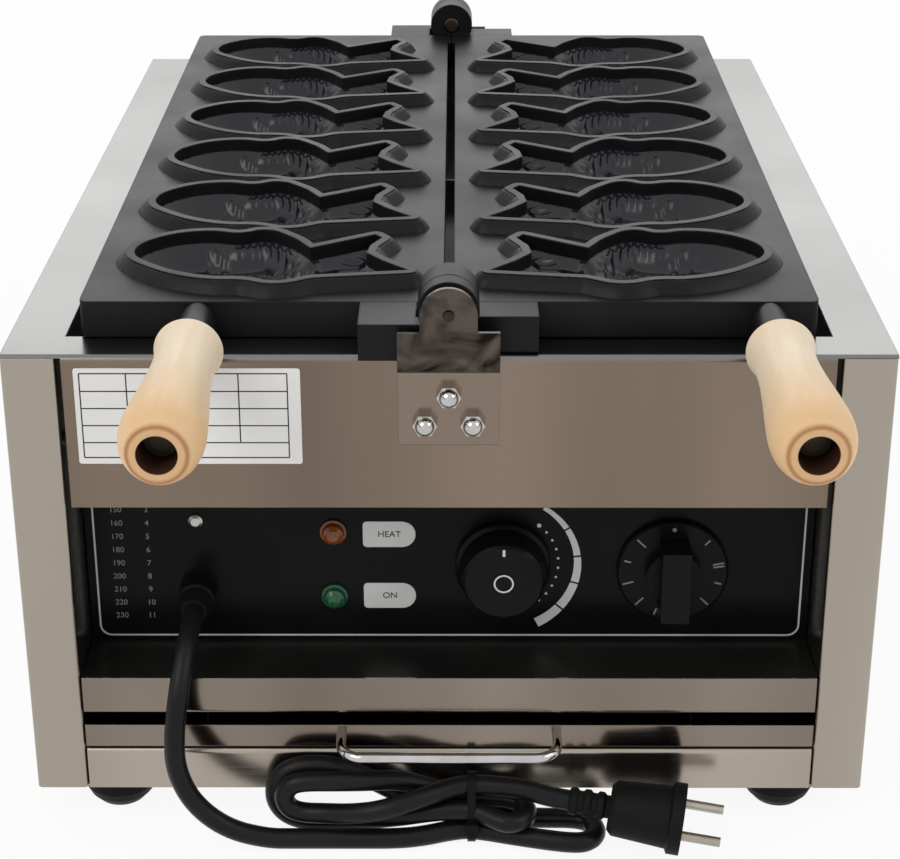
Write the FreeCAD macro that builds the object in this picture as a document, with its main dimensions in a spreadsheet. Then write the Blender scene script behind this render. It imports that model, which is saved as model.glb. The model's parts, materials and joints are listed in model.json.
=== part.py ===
import FreeCAD, Part
import math
import os
import re

import Sketcher

Vector = FreeCAD.Vector
Rotation = FreeCAD.Rotation

# A table-top electric fish waffle maker: a folded steel housing, two hinged cast plates with six fish moulds
# each, a recessed control panel, a crumb tray and a mains cord tied in a hank. +Z is up, the front faces -Y,
# the origin is on the table under the middle of the machine, and lengths are millimetres.

SIZES = {
    # Housing sheet metal
    "body_width": 410,
    "body_depth": 540,
    "body_height": 232,
    "foot_height": 18,
    "sheet_thick": 1.2,
    "bend_radius": 1.4,
    "deck_bend": 3.2,
    "cheek_width": 25.5,
    "cheek_return": 36,
    "rear_flange": 18,
    "floor_flange": 52,
    "rear_drop": 50,
    "seam_gap": 0.6,
    "fascia_height": 76.5,
    "fascia_slot": 2.5,
    "opening_front": 24.7,
    "opening_rear": 21.3,
    "opening_side": 1,
    "vent_width": 58,
    "vent_height": 4,
    "vent_pitch": 12,
    "vent_spread": 70,
    # Rails, tray slot and control recess
    "lower_rail_height": 22.6,
    "lip_gap": 1.6,
    "lip_height": 12,
    "slot_height": 6.2,
    "upper_rail_height": 20.4,
    "rail_return": 12,
    "rail_gap": 0.5,
    "recess_depth": 38,
    "panel_thick": 1.5,
    "panel_cover": 22,
    "shelf_rear_gap": 60,
    # Heater
    "pan_depth": 46,
    "pan_wall": 0.8,
    "pan_flange": 9,
    "element_radius": 4,
    "element_drop": 24,
    "element_inset": 28,
    "element_centre": 24.5,
    "element_turn_margin": 24,
    "element_lead": 12,
    "element_hole_gap": 0.4,
    "support_thick": 3,
    "support_gap": 0.3,
    "bulb_radius": 3,
    "bulb_length": 110,
    "capillary_radius": 1.2,
    "capillary_bend": 4,
    # Mould plates
    "plate_setback": 23,
    "plate_rear_gap": 9,
    "plate_side_gap": 7.5,
    "plate_thick": 17.5,
    "plate_corner": 4,
    "seat_gap": 0.5,
    "rim_height": 6,
    "rim_width": 4.2,
    "closing_gap": 0.6,
    "centre_slot": 5,
    "centre_slot_margin": 39,
    "fish_nose_margin": 18.9,
    "fish_tail_margin": 19.3,
    "fish_front_margin": 52.7,
    "fish_rear_margin": 61.3,
    "body_cavity_depth": 13.5,
    "tail_cavity_depth": 6,
    # Hinges
    "lug_width": 41,
    "lug_reach": 29,
    "knuckle_split": 19.3,
    "knuckle_start": 3,
    "knuckle_gap": 0.6,
    "knuckle_radius": 14,
    "knuckle_clear": 0.8,
    "pin_radius": 5,
    "pin_clear": 0.05,
    "pin_tip_radius": 2.4,
    "pin_head": 1.2,
    "pin_start": 1,
    "pin_chamfer": 1,
    "tab_gap": 3,
    "tab_radius": 13,
    "bracket_thick": 2.5,
    "bracket_half_width": 23.2,
    "bracket_drop": 43,
    "bracket_step": 1.5,
    "bracket_shoulder": 16,
    "bracket_reach": 60,
    "bolt_radius": 3,
    "bolt_clear": 0.2,
    "bolt_head_radius": 5,
    "bolt_head_height": 4,
    "bolt_spread": 11,
    "bolt_upper_drop": 17.3,
    "bolt_lower_drop": 31.4,
    "nut_radius": 5.7,
    "nut_height": 5,
    "nut_dome": 4.6,
    # Handles
    "boss_radius": 8.5,
    "boss_length": 39,
    "left_handle_inset": 55,
    "right_handle_inset": 23,
    "stud_radius": 5,
    "stud_depth": 25,
    "stud_fit": 0.05,
    "grip_length": 110,
    "grip_root_radius": 15.6,
    "grip_waist_radius": 13.8,
    "grip_swell_radius": 17.6,
    "grip_end_radius": 12.4,
    "grip_end_round": 2.2,
    "grip_bore_gap": 0.3,
    "grip_well_radius": 8.4,
    "grip_well_depth": 24,
    "grip_nut_radius": 7.4,
    "grip_nut_height": 9,
    # Crumb tray
    "tray_half_width": 119,
    "tray_length": 430,
    "tray_wall": 0.8,
    "tray_lift": 0.6,
    "tray_top_gap": 1.6,
    "runner_gap": 0.5,
    "runner_ledge": 12,
    "runner_foot": 14,
    "runner_end_gap": 2,
    "tray_handle_half": 53,
    "tray_handle_radius": 2.5,
    "tray_handle_reach": 20,
    "tray_handle_bend": 12,
    "tray_nut_radius": 4,
    "tray_nut_height": 3.5,
    # Controls, measured from the middle of the open window in the front
    "thermostat_x": 26.5,
    "thermostat_rise": -3.2,
    "timer_x": 110.3,
    "timer_rise": -6.2,
    "lamp_x": -57,
    "amber_rise": 14.5,
    "green_rise": -21.2,
    "earth_x": -124.4,
    "earth_rise": 20.4,
    "gland_x": -125,
    "gland_rise": -19.5,
    "shaft_radius": 3,
    "shaft_hole_gap": 1,
    "shaft_clear": 0.05,
    "shaft_depth": 12,
    "knob_gap": 0.8,
    "thermostat_knob_radius": 23.5,
    "thermostat_face_radius": 20,
    "thermostat_knob_depth": 20,
    "thermostat_cap_radius": 5.2,
    "thermostat_cap_rise": 0.6,
    "thermostat_skirt": 3.5,
    "knob_edge": 1.5,
    "timer_disc_radius": 27.5,
    "timer_disc_thick": 3,
    "timer_disc_edge": 1,
    "timer_hub_radius": 13.5,
    "timer_hub_depth": 9,
    "timer_bar_width": 14,
    "timer_bar_length": 38,
    "timer_bar_depth": 21,
    "thermostat_case_half": 19,
    "thermostat_case_depth": 32,
    "timer_case_half": 24,
    "timer_case_depth": 38,
    "lamp_bezel_radius": 6.5,
    "lamp_body_radius": 5,
    "lamp_body_length": 24,
    "lamp_collar": 1.6,
    "lamp_step": 0.4,
    "earth_head_radius": 3.6,
    "earth_shank_radius": 2,
    "earth_head_height": 2.4,
    "earth_head_edge": 1.4,
    "earth_screw_length": 8,
    "fit_gap": 0.2,
    # Electrics on the inner shelf
    "block_x": -110,
    "block_y": 90,
    "block_length": 62,
    "block_width": 22,
    "block_height": 16,
    "contactor_x": -10,
    "contactor_y": 150,
    "contactor_length": 56,
    "contactor_width": 48,
    "contactor_height": 62,
    "contactor_base_height": 37.2,
    "contactor_step": 8,
    "wire_radius": 1.6,
    "wire_bow": 12,
    "wire_spread": 20,
    # Feet and screws
    "foot_radius": 18,
    "foot_tread_radius": 12,
    "foot_taper": 2,
    "foot_inset_x": 38,
    "foot_inset_y": 23,
    "foot_screw_radius": 2.5,
    "foot_head_radius": 4.5,
    "foot_well_radius": 5.5,
    "foot_well_depth": 7,
    "foot_head_height": 4,
    "foot_nut_radius": 4.6,
    "foot_nut_height": 4,
    "foot_screw_end": 1,
    "panel_screw_radius": 1.6,
    "panel_screw_head": 3.2,
    "panel_screw_rise": 2,
    "panel_screw_inset": 14,
    # Cord, gland and plug
    "gland_radius": 9.25,
    "gland_tip_radius": 6.2,
    "gland_length": 20,
    "gland_collar": 9,
    "gland_thread_radius": 7,
    "gland_nut_radius": 11,
    "gland_nut_height": 5,
    "gland_thread_end": 3,
    "gland_taper": 1,
    "cord_diameter": 10,
    "loop_gap": 0.9,
    "floor_gap": 0.2,
    "tie_width": 4,
    "tie_thick": 1.2,
    "tie_fit": 0.4,
    "tie_lock_width": 6.4,
    "tie_lock_depth": 3,
    "tie_lock_bite": 0.5,
    "tie_lock_low": 2,
    "tie_lock_high": 8,
    "plug_neck_radius": 6.8,
    "plug_neck_length": 20,
    "plug_rib_depth": 1.2,
    "plug_rib_length": 3.6,
    "plug_shoulder_radius": 11,
    "plug_shoulder_round": 2.5,
    "plug_body_radius": 15.3,
    "plug_body_length": 36,
    "plug_flange_radius": 17.5,
    "plug_flange_thick": 6,
    "plug_flange_step": 1,
    "plug_pin_radius": 2.4,
    "plug_pin_length": 19,
    "plug_pin_spacing": 19,
}

FISH_ROWS = 6
VENT_ROWS = 6
ELEMENT_RUNS = 4
# Bend radius of a heating element as a share of the pitch of its runs
ELEMENT_BEND = 0.48

PLACES = {
    "deck_z": "foot_height + body_height",
    "under_deck": "deck_z - sheet_thick",
    "half_width": "body_width / 2",
    "plate_length": "body_depth - plate_setback - plate_rear_gap",
    "front_end": "plate_setback - boss_length - grip_length",
    "rear_end": "plate_setback + plate_length + lug_reach + tab_gap + bracket_thick + pin_head",
    "front_y": "-(front_end + rear_end) / 2",
    "back_y": "front_y + body_depth",
    "cheek_x": "half_width - cheek_width",
    "fascia_half": "cheek_x - fascia_slot",
    "fascia_low": "deck_z - fascia_height",
    "rail_half": "cheek_x - rail_gap",
    "lower_rail_top": "foot_height + lower_rail_height",
    "lip_low": "lower_rail_top + lip_gap",
    "lip_top": "lip_low + lip_height",
    "upper_rail_low": "lip_top + slot_height",
    "ledge_top": "upper_rail_low + upper_rail_height",
    "shelf_z": "upper_rail_low + sheet_thick",
    "shelf_top": "shelf_z + sheet_thick",
    "panel_y": "front_y + recess_depth",
    "panel_back": "panel_y + panel_thick",
    "window_z": "(fascia_low + ledge_top) / 2",
    "opening_half": "cheek_x - opening_side",
    "opening_y": "front_y + opening_front",
    "opening_end": "back_y - opening_rear",
    "pan_low": "deck_z - pan_depth",
    "element_z": "deck_z - element_drop",
    "element_pitch": f"(opening_half - element_inset - element_centre) / {ELEMENT_RUNS - 1}",
    "plate_half": "opening_half - plate_side_gap",
    "plate_front": "front_y + plate_setback",
    "plate_back": "plate_front + plate_length",
    "plate_z": "deck_z + seat_gap",
    "plate_top": "plate_z + plate_thick",
    "axis_z": "plate_top + rim_height + closing_gap / 2",
    "fish_length": "plate_half - fish_nose_margin - fish_tail_margin",
    "boss_y": "plate_front - boss_length",
    "grip_end_y": "boss_y - grip_length",
    "grip_z": "plate_z + plate_thick / 2",
    "stud_y": "grip_end_y + grip_well_depth - grip_nut_height - 1",
    "tab_front_y": "plate_front - lug_reach - tab_gap",
    "tab_back_y": "plate_back + lug_reach + tab_gap",
    "thermostat_z": "window_z + thermostat_rise",
    "timer_z": "window_z + timer_rise",
    "gland_z": "window_z + gland_rise",
    "tray_low": "lip_low + tray_lift",
    "tray_handle_z": "lip_low + lip_height / 2",
    "runner_x": "tray_half_width + runner_gap",
    "base_top": "foot_height + 2 * sheet_thick",
    "foot_x": "half_width - foot_inset_x",
    "foot_front_y": "front_y + foot_inset_y",
    "foot_back_y": "back_y - foot_inset_y",
    "back_panel_top": "deck_z - rear_drop - seam_gap",
    "panel_screw_x": "half_width - rear_flange / 2",
}

# One fish cavity as drawn: along from nose to tail, across from belly to back, in millimetres
DRAWN_FISH_LENGTH = 132.6
DRAWN_ROW_PITCH = 78.8
FISH_BODY = [
    (84.6, 5), (74, 22), (61.5, 32), (48, 27.5), (35, 30.3), (15, 25), (0, 2), (16, -22), (40, -34),
    (56, -35.3), (71, -40.3), (87.3, -32.8),
]
FISH_TAIL = [(132.6, -26.4), (120, -13), (112.2, -2), (113.5, 8.5), (119, 20), (115.5, 25)]
FISH_NECK = 88

# Places along a grip where it is narrowest, widest and starts to round off, as shares of its length
GRIP_WAIST_SHARE = 0.27
GRIP_SWELL_SHARE = 0.74
GRIP_SHOULDER_SHARE = 0.97

# Route of the cord's free stretch from the gland to the hank: across, out from the front plane, height
CORD_ROUTE = [
    (-125, 18, 107.65),
    (-125, 8, 107.65),
    (-126, -9.1, 102.1),
    (-128.5, -23, 87.7),
    (-131, -28.6, 67.5),
    (-131.5, -28.8, 47.5),
    (-124, -28, 27.5),
    (-108.5, -26.6, 12),
    (-89, -25, 5.2),
    (-75, -25, 5.2),
]

# Hank of two turns: where its bends and its tie lie, across, out from the front plane and height
HANK_TURNS = 2
HANK_START = (-75, -25)
HANK_TIE_X = 11
HANK_TIE_LIFT = 1.6
HANK_TIE_SPREAD = 18
HANK_BACK = -7.4
HANK_RIGHT_X = 62
HANK_RIGHT_STEP = 34
HANK_LEFT_X = -72
HANK_LOBE_TOP = [(-5.8, 35.5), (-17.2, 33.2)]
HANK_LOBE_LOW = [(-9.6, 5.2), (-16.8, 14.6)]
HANK_RISE = [75, 45]
HANK_BULGE = 14
# Where the front strands start to draw together, and the runs over which they move in and climb
HANK_FIRST_GATHER_X = -25
HANK_GATHER_X = -60
HANK_GATHER_RUN = 45
HANK_CLIMB_RUN = [55, 57]
# Places across of the points along the strands
HANK_FIRST_STRAND = (-60, -45, -25, -12, 0)
HANK_FRONT_STRAND = (-60, -48, -35, -22, -10, 0)
HANK_BACK_STRAND = (0, -12, -25, -40, -55)
HANK_CROSSING = [(24, -14.5, 28.8), (38, -16.4, 28.1)]
PLUG_NECK = (58.5, -19, 23.6)
PLUG_AXIS = Vector(1, -0.15, -0.1).normalize()
PLUG_ROLL = 20
PLUG_RIBS = 3

doc = FreeCAD.newDocument("FishWaffleMaker")
owner = {alias: "Sizes" for alias in SIZES}
owner.update({alias: "Places" for alias in PLACES})
nodes = []


def qualified(formula):
    """A formula of size names, with each name pointing at its sheet."""
    def pointed(word):
        return f"{owner[word[0]]}.{word[0]}" if word[0] in owner else word[0]

    return re.sub(r"[a-z][a-z_0-9]*", pointed, formula)


def make_sheet(name, rows):
    sheet = doc.addObject("Spreadsheet::Sheet", name)
    for row, (alias, content) in enumerate(rows.items(), start=1):
        sheet.set(f"A{row}", alias)
        sheet.set(f"B{row}", content)
        sheet.setAlias(f"B{row}", alias)
    doc.recompute()
    return sheet


make_sheet("Sizes", {alias: str(number) for alias, number in SIZES.items()})
places = make_sheet("Places", {alias: "=" + qualified(formula) for alias, formula in PLACES.items()})


def value(formula):
    return float(places.evalExpression(qualified(formula)))


def bind(item, prop, formula):
    item.setExpression(prop, qualified(formula))


def put(item, x, y, z):
    for axis, formula in zip("xyz", (x, y, z)):
        bind(item, f"Placement.Base.{axis}", formula)


def node(label, item):
    """Names a finished sub-part, which is written to a file of that name."""
    item.Label = label
    nodes.append(item)
    return item


def box(name, x, y, z):
    item = doc.addObject("Part::Box", name)
    for prop, (low, high) in zip(("Length", "Width", "Height"), (x, y, z)):
        bind(item, prop, f"({high}) - ({low})")
    put(item, x[0], y[0], z[0])
    return item


TURNS = {"X": Rotation(Vector(0, 1, 0), 90), "Y": Rotation(Vector(1, 0, 0), -90), "Z": Rotation()}


def rod(name, axis, radius, start, length):
    """A cylinder from a start point along one axis."""
    item = doc.addObject("Part::Cylinder", name)
    bind(item, "Radius", radius)
    bind(item, "Height", length)
    item.Placement.Rotation = TURNS[axis]
    put(item, *start)
    return item


def fuse(name, items):
    item = doc.addObject("Part::MultiFuse", name)
    item.Shapes = items
    item.Refine = True
    return item


def group(name, items):
    item = doc.addObject("Part::Compound", name)
    item.Links = items
    return item


def cut(name, base, tools):
    item = doc.addObject("Part::Cut", name)
    item.Base = base
    item.Tool = tools[0] if len(tools) == 1 else group(name + "_tools", tools)
    return item


def sketch_in(body, plane, corners):
    """A closed outline in one of the body's own planes, with each corner tied to its two formulas."""
    sketch = body.newObject("Sketcher::SketchObject", body.Name + "_outline")
    support = next(feature for feature in body.Origin.OriginFeatures if feature.Role == plane)
    sketch.AttachmentSupport = (support, [""])
    sketch.MapMode = "FlatFace"
    points = [Vector(value(across), value(up), 0) for across, up in corners]
    count = len(points)
    for index in range(count):
        sketch.addGeometry(Part.LineSegment(points[index], points[(index + 1) % count]), False)
    for index, corner in enumerate(corners):
        sketch.addConstraint(Sketcher.Constraint("Coincident", index, 1, (index - 1) % count, 2))
        for kind, formula in zip(("DistanceX", "DistanceY"), corner):
            datum = Sketcher.Constraint(kind, -1, 1, index, 1, value(formula))
            bind(sketch, f"Constraints[{sketch.addConstraint(datum)}]", formula)
    return sketch


def round_folds(body, corners, axes, folds):
    """Rounds the straight edges that run through the given corners of the outline."""
    for number, (picked, radius) in enumerate(folds):
        doc.recompute()
        base = body.Tip
        spots = [[value(formula) for formula in corners[index]] for index in picked]
        names = []
        for index, edge in enumerate(base.Shape.Edges, start=1):
            ends = [[getattr(vertex.Point, axis) for axis in axes] for vertex in edge.Vertexes]
            if any(all(math.dist(end, spot) < 0.001 for end in ends) for spot in spots):
                names.append(f"Edge{index}")
        fillet = body.newObject("PartDesign::Fillet", f"{body.Name}_fold{number}")
        fillet.Base = (base, names)
        bind(fillet, "Radius", radius)
        body.Tip = fillet


def padded(name, plane, corners, length, symmetric=False, folds=()):
    """A prism of the outline. Its folds are (corner numbers, radius) pairs."""
    body = doc.addObject("PartDesign::Body", name)
    sketch = sketch_in(body, plane, corners)
    pad = body.newObject("PartDesign::Pad", name + "_pad")
    pad.Profile = (sketch, [""])
    pad.SideType = "Symmetric" if symmetric else "One side"
    bind(pad, "Length", length)
    body.Tip = pad
    axes = {"XY_Plane": ("x", "y"), "YZ_Plane": ("y", "z")}[plane]
    round_folds(body, corners, axes, folds)
    return body


def turned(name, plane, corners):
    """A solid of revolution: the outline holds radius and place along the upright axis of its plane."""
    body = doc.addObject("PartDesign::Body", name)
    sketch = sketch_in(body, plane, corners)
    lathe = body.newObject("PartDesign::Revolution", name + "_lathe")
    lathe.Profile = (sketch, [""])
    lathe.ReferenceAxis = (sketch, ["V_Axis"])
    lathe.Angle = 360
    body.Tip = lathe
    return body


def shaped(name, shape):
    item = doc.addObject("Part::Feature", name)
    item.Shape = shape
    return item


def rounded_path(points, radius_at):
    """Straight runs joined by tangent arcs. Gives the edges and the radii of the arcs."""
    edges = []
    radii = []
    last = points[0]
    for before, corner, after in zip(points, points[1:], points[2:]):
        come = (corner - before).normalize()
        leave = (after - corner).normalize()
        turn = come.getAngle(leave)
        radius = radius_at(min((corner - before).Length, (after - corner).Length), turn)
        reach = radius * math.tan(turn / 2)
        arc_start = corner - come * reach
        arc_end = corner + leave * reach
        inward = (leave - come).normalize()
        middle = corner + inward * (radius / math.cos(turn / 2) - radius)
        edges.append(Part.LineSegment(last, arc_start).toShape())
        edges.append(Part.Arc(arc_start, middle, arc_end).toShape())
        radii.append(radius)
        last = arc_end
    edges.append(Part.LineSegment(last, points[-1]).toShape())
    return edges, radii


def pipe(edges, start, direction, radius):
    profile = Part.Wire(Part.makeCircle(radius, start, direction))
    return Part.Wire(edges).makePipeShell([profile], True, False)


def tube(points, radius, bend):
    edges, _ = rounded_path(points, lambda run, turn: bend)
    return pipe(edges, points[0], points[1] - points[0], radius)


def side_panel(name, side):
    corners = [
        (f"{side} * half_width", "front_y"),
        (f"{side} * cheek_x", "front_y"),
        (f"{side} * cheek_x", "front_y + cheek_return"),
        (f"{side} * (cheek_x + sheet_thick)", "front_y + cheek_return"),
        (f"{side} * (cheek_x + sheet_thick)", "front_y + sheet_thick"),
        (f"{side} * (half_width - sheet_thick)", "front_y + sheet_thick"),
        (f"{side} * (half_width - sheet_thick)", "back_y - 2 * sheet_thick"),
        (f"{side} * (half_width - rear_flange)", "back_y - 2 * sheet_thick"),
        (f"{side} * (half_width - rear_flange)", "back_y - sheet_thick"),
        (f"{side} * half_width", "back_y - sheet_thick"),
    ]
    folds = [([0, 1, 9], "bend_radius + sheet_thick"), ([4, 5, 6], "bend_radius")]
    wall = padded(name + "_wall", "XY_Plane", corners, "under_deck - foot_height", folds=folds)
    put(wall, "0", "0", "foot_height")
    reach = [f"{side} * (half_width - sheet_thick / 2)", f"{side} * (half_width - floor_flange)"]
    flange = box(name + "_floor", sorted(reach, key=value), ("front_y + sheet_thick", "back_y - sheet_thick"),
                 ("foot_height", "foot_height + sheet_thick"))
    holes = [foot_hole(name, f"{side} * foot_x", y) for y in ("foot_front_y", "foot_back_y")]
    holes += [panel_screw_hole(name, f"{side} * panel_screw_x", height) for height in PANEL_SCREW_HEIGHTS]
    across = sorted([f"{side} * (half_width - rear_flange - 1)", f"{side} * (half_width + 1)"], key=value)
    holes.append(box(name + "_corner_relief", across, ("back_y - sheet_thick - deck_bend", "back_y"),
                     ("under_deck - deck_bend", "deck_z")))
    return node(name, cut(name, fuse(name + "_blank", [wall, flange]), holes))


def foot_hole(name, x, y):
    start = (x, y, "foot_height - sheet_thick")
    return rod(name + "_foot_hole", "Z", "foot_screw_radius + fit_gap", start, "5 * sheet_thick")


PANEL_SCREW_HEIGHTS = [
    "foot_height + panel_screw_inset",
    "(foot_height + back_panel_top) / 2",
    "back_panel_top - panel_screw_inset",
]


def panel_screw_hole(name, x, z):
    start = (x, "back_y - 4 * sheet_thick", z)
    return rod(name + "_screw_hole", "Y", "panel_screw_radius + fit_gap", start, "6 * sheet_thick")


def top_deck():
    corners = [
        ("front_y", "fascia_low"),
        ("front_y", "deck_z"),
        ("back_y", "deck_z"),
        ("back_y", "deck_z - rear_drop"),
        ("back_y - sheet_thick", "deck_z - rear_drop"),
        ("back_y - sheet_thick", "under_deck"),
        ("front_y + sheet_thick", "under_deck"),
        ("front_y + sheet_thick", "fascia_low"),
    ]
    folds = [([1, 2], "deck_bend"), ([5, 6], "deck_bend - sheet_thick")]
    sheet = padded("deck_sheet", "YZ_Plane", corners, "body_width", True, folds)
    tools = [box("deck_opening", ("-opening_half", "opening_half"), ("opening_y", "opening_end"),
                 ("deck_z - 3 * sheet_thick", "deck_z + sheet_thick"))]
    for side in (-1, 1):
        across = sorted([f"{side} * fascia_half", f"{side} * (half_width + 1)"], key=value)
        tools.append(box("deck_corner", across, ("front_y - 1", "front_y + deck_bend + 1"),
                         ("fascia_low - 1", "under_deck")))
    tools += [bolt_hole("deck", x, face, drop) for face in ("front_y", "back_y") for x, drop in BOLT_SPOTS]
    node("top_deck", cut("top_deck", sheet, tools))


BOLT_SPOTS = [
    ("0", "bolt_upper_drop"),
    ("-bolt_spread", "bolt_lower_drop"),
    ("bolt_spread", "bolt_lower_drop"),
]


def bolt_hole(name, x, face, drop):
    start = (x, f"{face} - 2 * bracket_thick", f"deck_z - {drop}")
    return rod(name + "_bolt_hole", "Y", "bolt_radius + bolt_clear", start, "4 * bracket_thick")


def back_panel():
    sheet = box("back_sheet", ("-half_width", "half_width"), ("back_y - sheet_thick", "back_y"),
                ("foot_height", "back_panel_top"))
    tools = []
    for side in (-1, 1):
        for row in range(VENT_ROWS):
            middle = f"(foot_height + back_panel_top) / 2 + {row - (VENT_ROWS - 1) / 2} * vent_pitch"
            across = (f"{side} * vent_spread - vent_width / 2", f"{side} * vent_spread + vent_width / 2")
            tools.append(box("vent", across, ("back_y - 2 * sheet_thick", "back_y + sheet_thick"),
                             (f"{middle} - vent_height / 2", f"{middle} + vent_height / 2")))
        for height in PANEL_SCREW_HEIGHTS:
            tools.append(panel_screw_hole("back", f"{side} * panel_screw_x", height))
    node("back_panel", cut("back_panel", sheet, tools))
    screws = []
    for side in (-1, 1):
        for height in PANEL_SCREW_HEIGHTS:
            screw = turned("panel_screw", "XY_Plane", [
                ("0", "-4 * sheet_thick"), ("panel_screw_radius", "-4 * sheet_thick"),
                ("panel_screw_radius", "0"), ("panel_screw_head", "0"),
                ("panel_screw_head", "panel_screw_rise / 2"),
                ("panel_screw_head / 2", "panel_screw_rise"), ("0", "panel_screw_rise")])
            put(screw, f"{side} * panel_screw_x", "back_y", height)
            screws.append(screw)
    node("back_panel_screws", group("back_panel_screws", screws))


def floor_and_rails():
    plate = box("base_sheet", ("-rail_half", "rail_half"), ("front_y + sheet_thick", "back_y - sheet_thick"),
                ("foot_height + sheet_thick", "base_top"))
    holes = []
    for side in (-1, 1):
        holes += [foot_hole("base", f"{side} * foot_x", y) for y in ("foot_front_y", "foot_back_y")]
    node("base_plate", cut("base_plate", plate, holes))
    lower = [
        ("front_y", "foot_height"), ("front_y", "lower_rail_top"),
        ("front_y + rail_return", "lower_rail_top"),
        ("front_y + rail_return", "lower_rail_top - sheet_thick"),
        ("front_y + sheet_thick", "lower_rail_top - sheet_thick"), ("front_y + sheet_thick", "foot_height"),
    ]
    folds = [([1], "bend_radius + sheet_thick"), ([4], "bend_radius")]
    node("lower_rail", padded("lower_rail", "YZ_Plane", lower, "2 * rail_half", True, folds))
    upper = [
        ("front_y", "ledge_top"), ("front_y", "upper_rail_low"), ("front_y + rail_return", "upper_rail_low"),
        ("front_y + rail_return", "upper_rail_low + sheet_thick"),
        ("front_y + sheet_thick", "upper_rail_low + sheet_thick"), ("front_y + sheet_thick", "ledge_top"),
    ]
    node("upper_rail", padded("upper_rail", "YZ_Plane", upper, "2 * rail_half", True, folds))
    ledge = box("control_ledge", ("-rail_half", "rail_half"), ("front_y + sheet_thick", "panel_y"),
                ("ledge_top - sheet_thick", "ledge_top"))
    node("control_ledge", ledge)
    shelf = box("electrics_shelf", ("-half_width + sheet_thick", "half_width - sheet_thick"),
                ("front_y + cheek_return + seam_gap", "back_y - shelf_rear_gap"), ("shelf_z", "shelf_top"))
    node("electrics_shelf", shelf)


def feet():
    pads = []
    screws = []
    nuts = []
    bore = "foot_screw_radius + fit_gap"
    head = "foot_well_depth - foot_head_height"
    tip = "base_top + foot_nut_height + foot_screw_end"
    for side in (-1, 1):
        for y in ("foot_front_y", "foot_back_y"):
            pad = turned("foot", "XZ_Plane", [
                ("foot_well_radius", "0"), ("foot_tread_radius", "0"),
                ("foot_radius - foot_taper", "foot_height / 4"), ("foot_radius", "foot_height / 2"),
                ("foot_radius", "foot_height"), (bore, "foot_height"),
                (bore, "foot_well_depth"), ("foot_well_radius", "foot_well_depth")])
            screw = turned("foot_screw", "XZ_Plane", [
                ("0", head), ("foot_head_radius", head), ("foot_head_radius", "foot_well_depth"),
                ("foot_screw_radius", "foot_well_depth"), ("foot_screw_radius", tip), ("0", tip)])
            blank = doc.addObject("Part::Prism", "foot_nut_blank")
            blank.Polygon = 6
            bind(blank, "Circumradius", "foot_nut_radius")
            bind(blank, "Height", "foot_nut_height")
            put(blank, f"{side} * foot_x", y, "base_top")
            start = (f"{side} * foot_x", y, "base_top - sheet_thick")
            through = "foot_nut_height + 2 * sheet_thick"
            hole = rod("foot_nut_hole", "Z", "foot_screw_radius + stud_fit", start, through)
            put(pad, f"{side} * foot_x", y, "0")
            put(screw, f"{side} * foot_x", y, "0")
            pads.append(pad)
            screws.append(screw)
            nuts.append(cut("foot_nut", blank, [hole]))
    node("rubber_feet", group("rubber_feet", pads))
    node("foot_screws", group("foot_screws", screws))
    node("foot_nuts", group("foot_nuts", nuts))


def heater():
    blank = box("pan_blank", ("-opening_half - pan_wall", "opening_half + pan_wall"),
                ("opening_y - pan_wall", "opening_end + pan_wall"), ("pan_low", "under_deck"))
    side_flange = box("pan_side_flange", ("-opening_half - pan_flange", "opening_half + pan_flange"),
                      ("front_y + cheek_return + seam_gap", "opening_end + pan_flange"),
                      ("under_deck - pan_wall", "under_deck"))
    front_flange = box("pan_front_flange", ("-opening_half", "opening_half"),
                       ("opening_y - pan_flange", "opening_y"), ("under_deck - pan_wall", "under_deck"))
    hollow = box("pan_hollow", ("-opening_half", "opening_half"), ("opening_y", "opening_end"),
                 ("pan_low + pan_wall", "deck_z"))
    holes = [rod("pan_capillary_hole", "Y", "capillary_radius + element_hole_gap",
                 ("0", "opening_y - 2 * pan_wall", "element_z"), "4 * pan_wall")]
    for side in (-1, 1):
        for run in (0, ELEMENT_RUNS - 1):
            x = f"{side} * (opening_half - element_inset - {run} * element_pitch)"
            start = (x, "opening_y - 2 * pan_wall", "element_z")
            hole = rod("pan_element_hole", "Y", "element_radius + element_hole_gap", start, "4 * pan_wall")
            holes.append(hole)
    pan = cut("pan_open", fuse("pan_sheet", [blank, side_flange, front_flange]), [hollow])
    node("heater_pan", cut("heater_pan", pan, holes))
    lead_y = value("front_y + element_lead")
    near = value("opening_y + element_turn_margin")
    far = value("opening_end - element_turn_margin")
    height = value("element_z")
    for name, side in (("left_heating_element", -1), ("right_heating_element", 1)):
        points = []
        for run in range(ELEMENT_RUNS):
            x = side * value(f"opening_half - element_inset - {run} * element_pitch")
            front = lead_y if run in (0, ELEMENT_RUNS - 1) else near
            ends = [Vector(x, front, height), Vector(x, far, height)]
            points += ends if run % 2 == 0 else ends[::-1]
        node(name, shaped(name, tube(points, value("element_radius"), ELEMENT_BEND * value("element_pitch"))))
    bars = []
    for share in (1, 2):
        middle = f"opening_y + (opening_end - opening_y) * {share} / 3"
        bars.append(box("support_bar", ("-opening_half", "opening_half"),
                        (f"{middle} - support_thick / 2", f"{middle} + support_thick / 2"),
                        ("pan_low + pan_wall", "element_z - element_radius - support_gap")))
    node("heater_supports", group("heater_supports", bars))
    thermostat_bulb()


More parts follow.
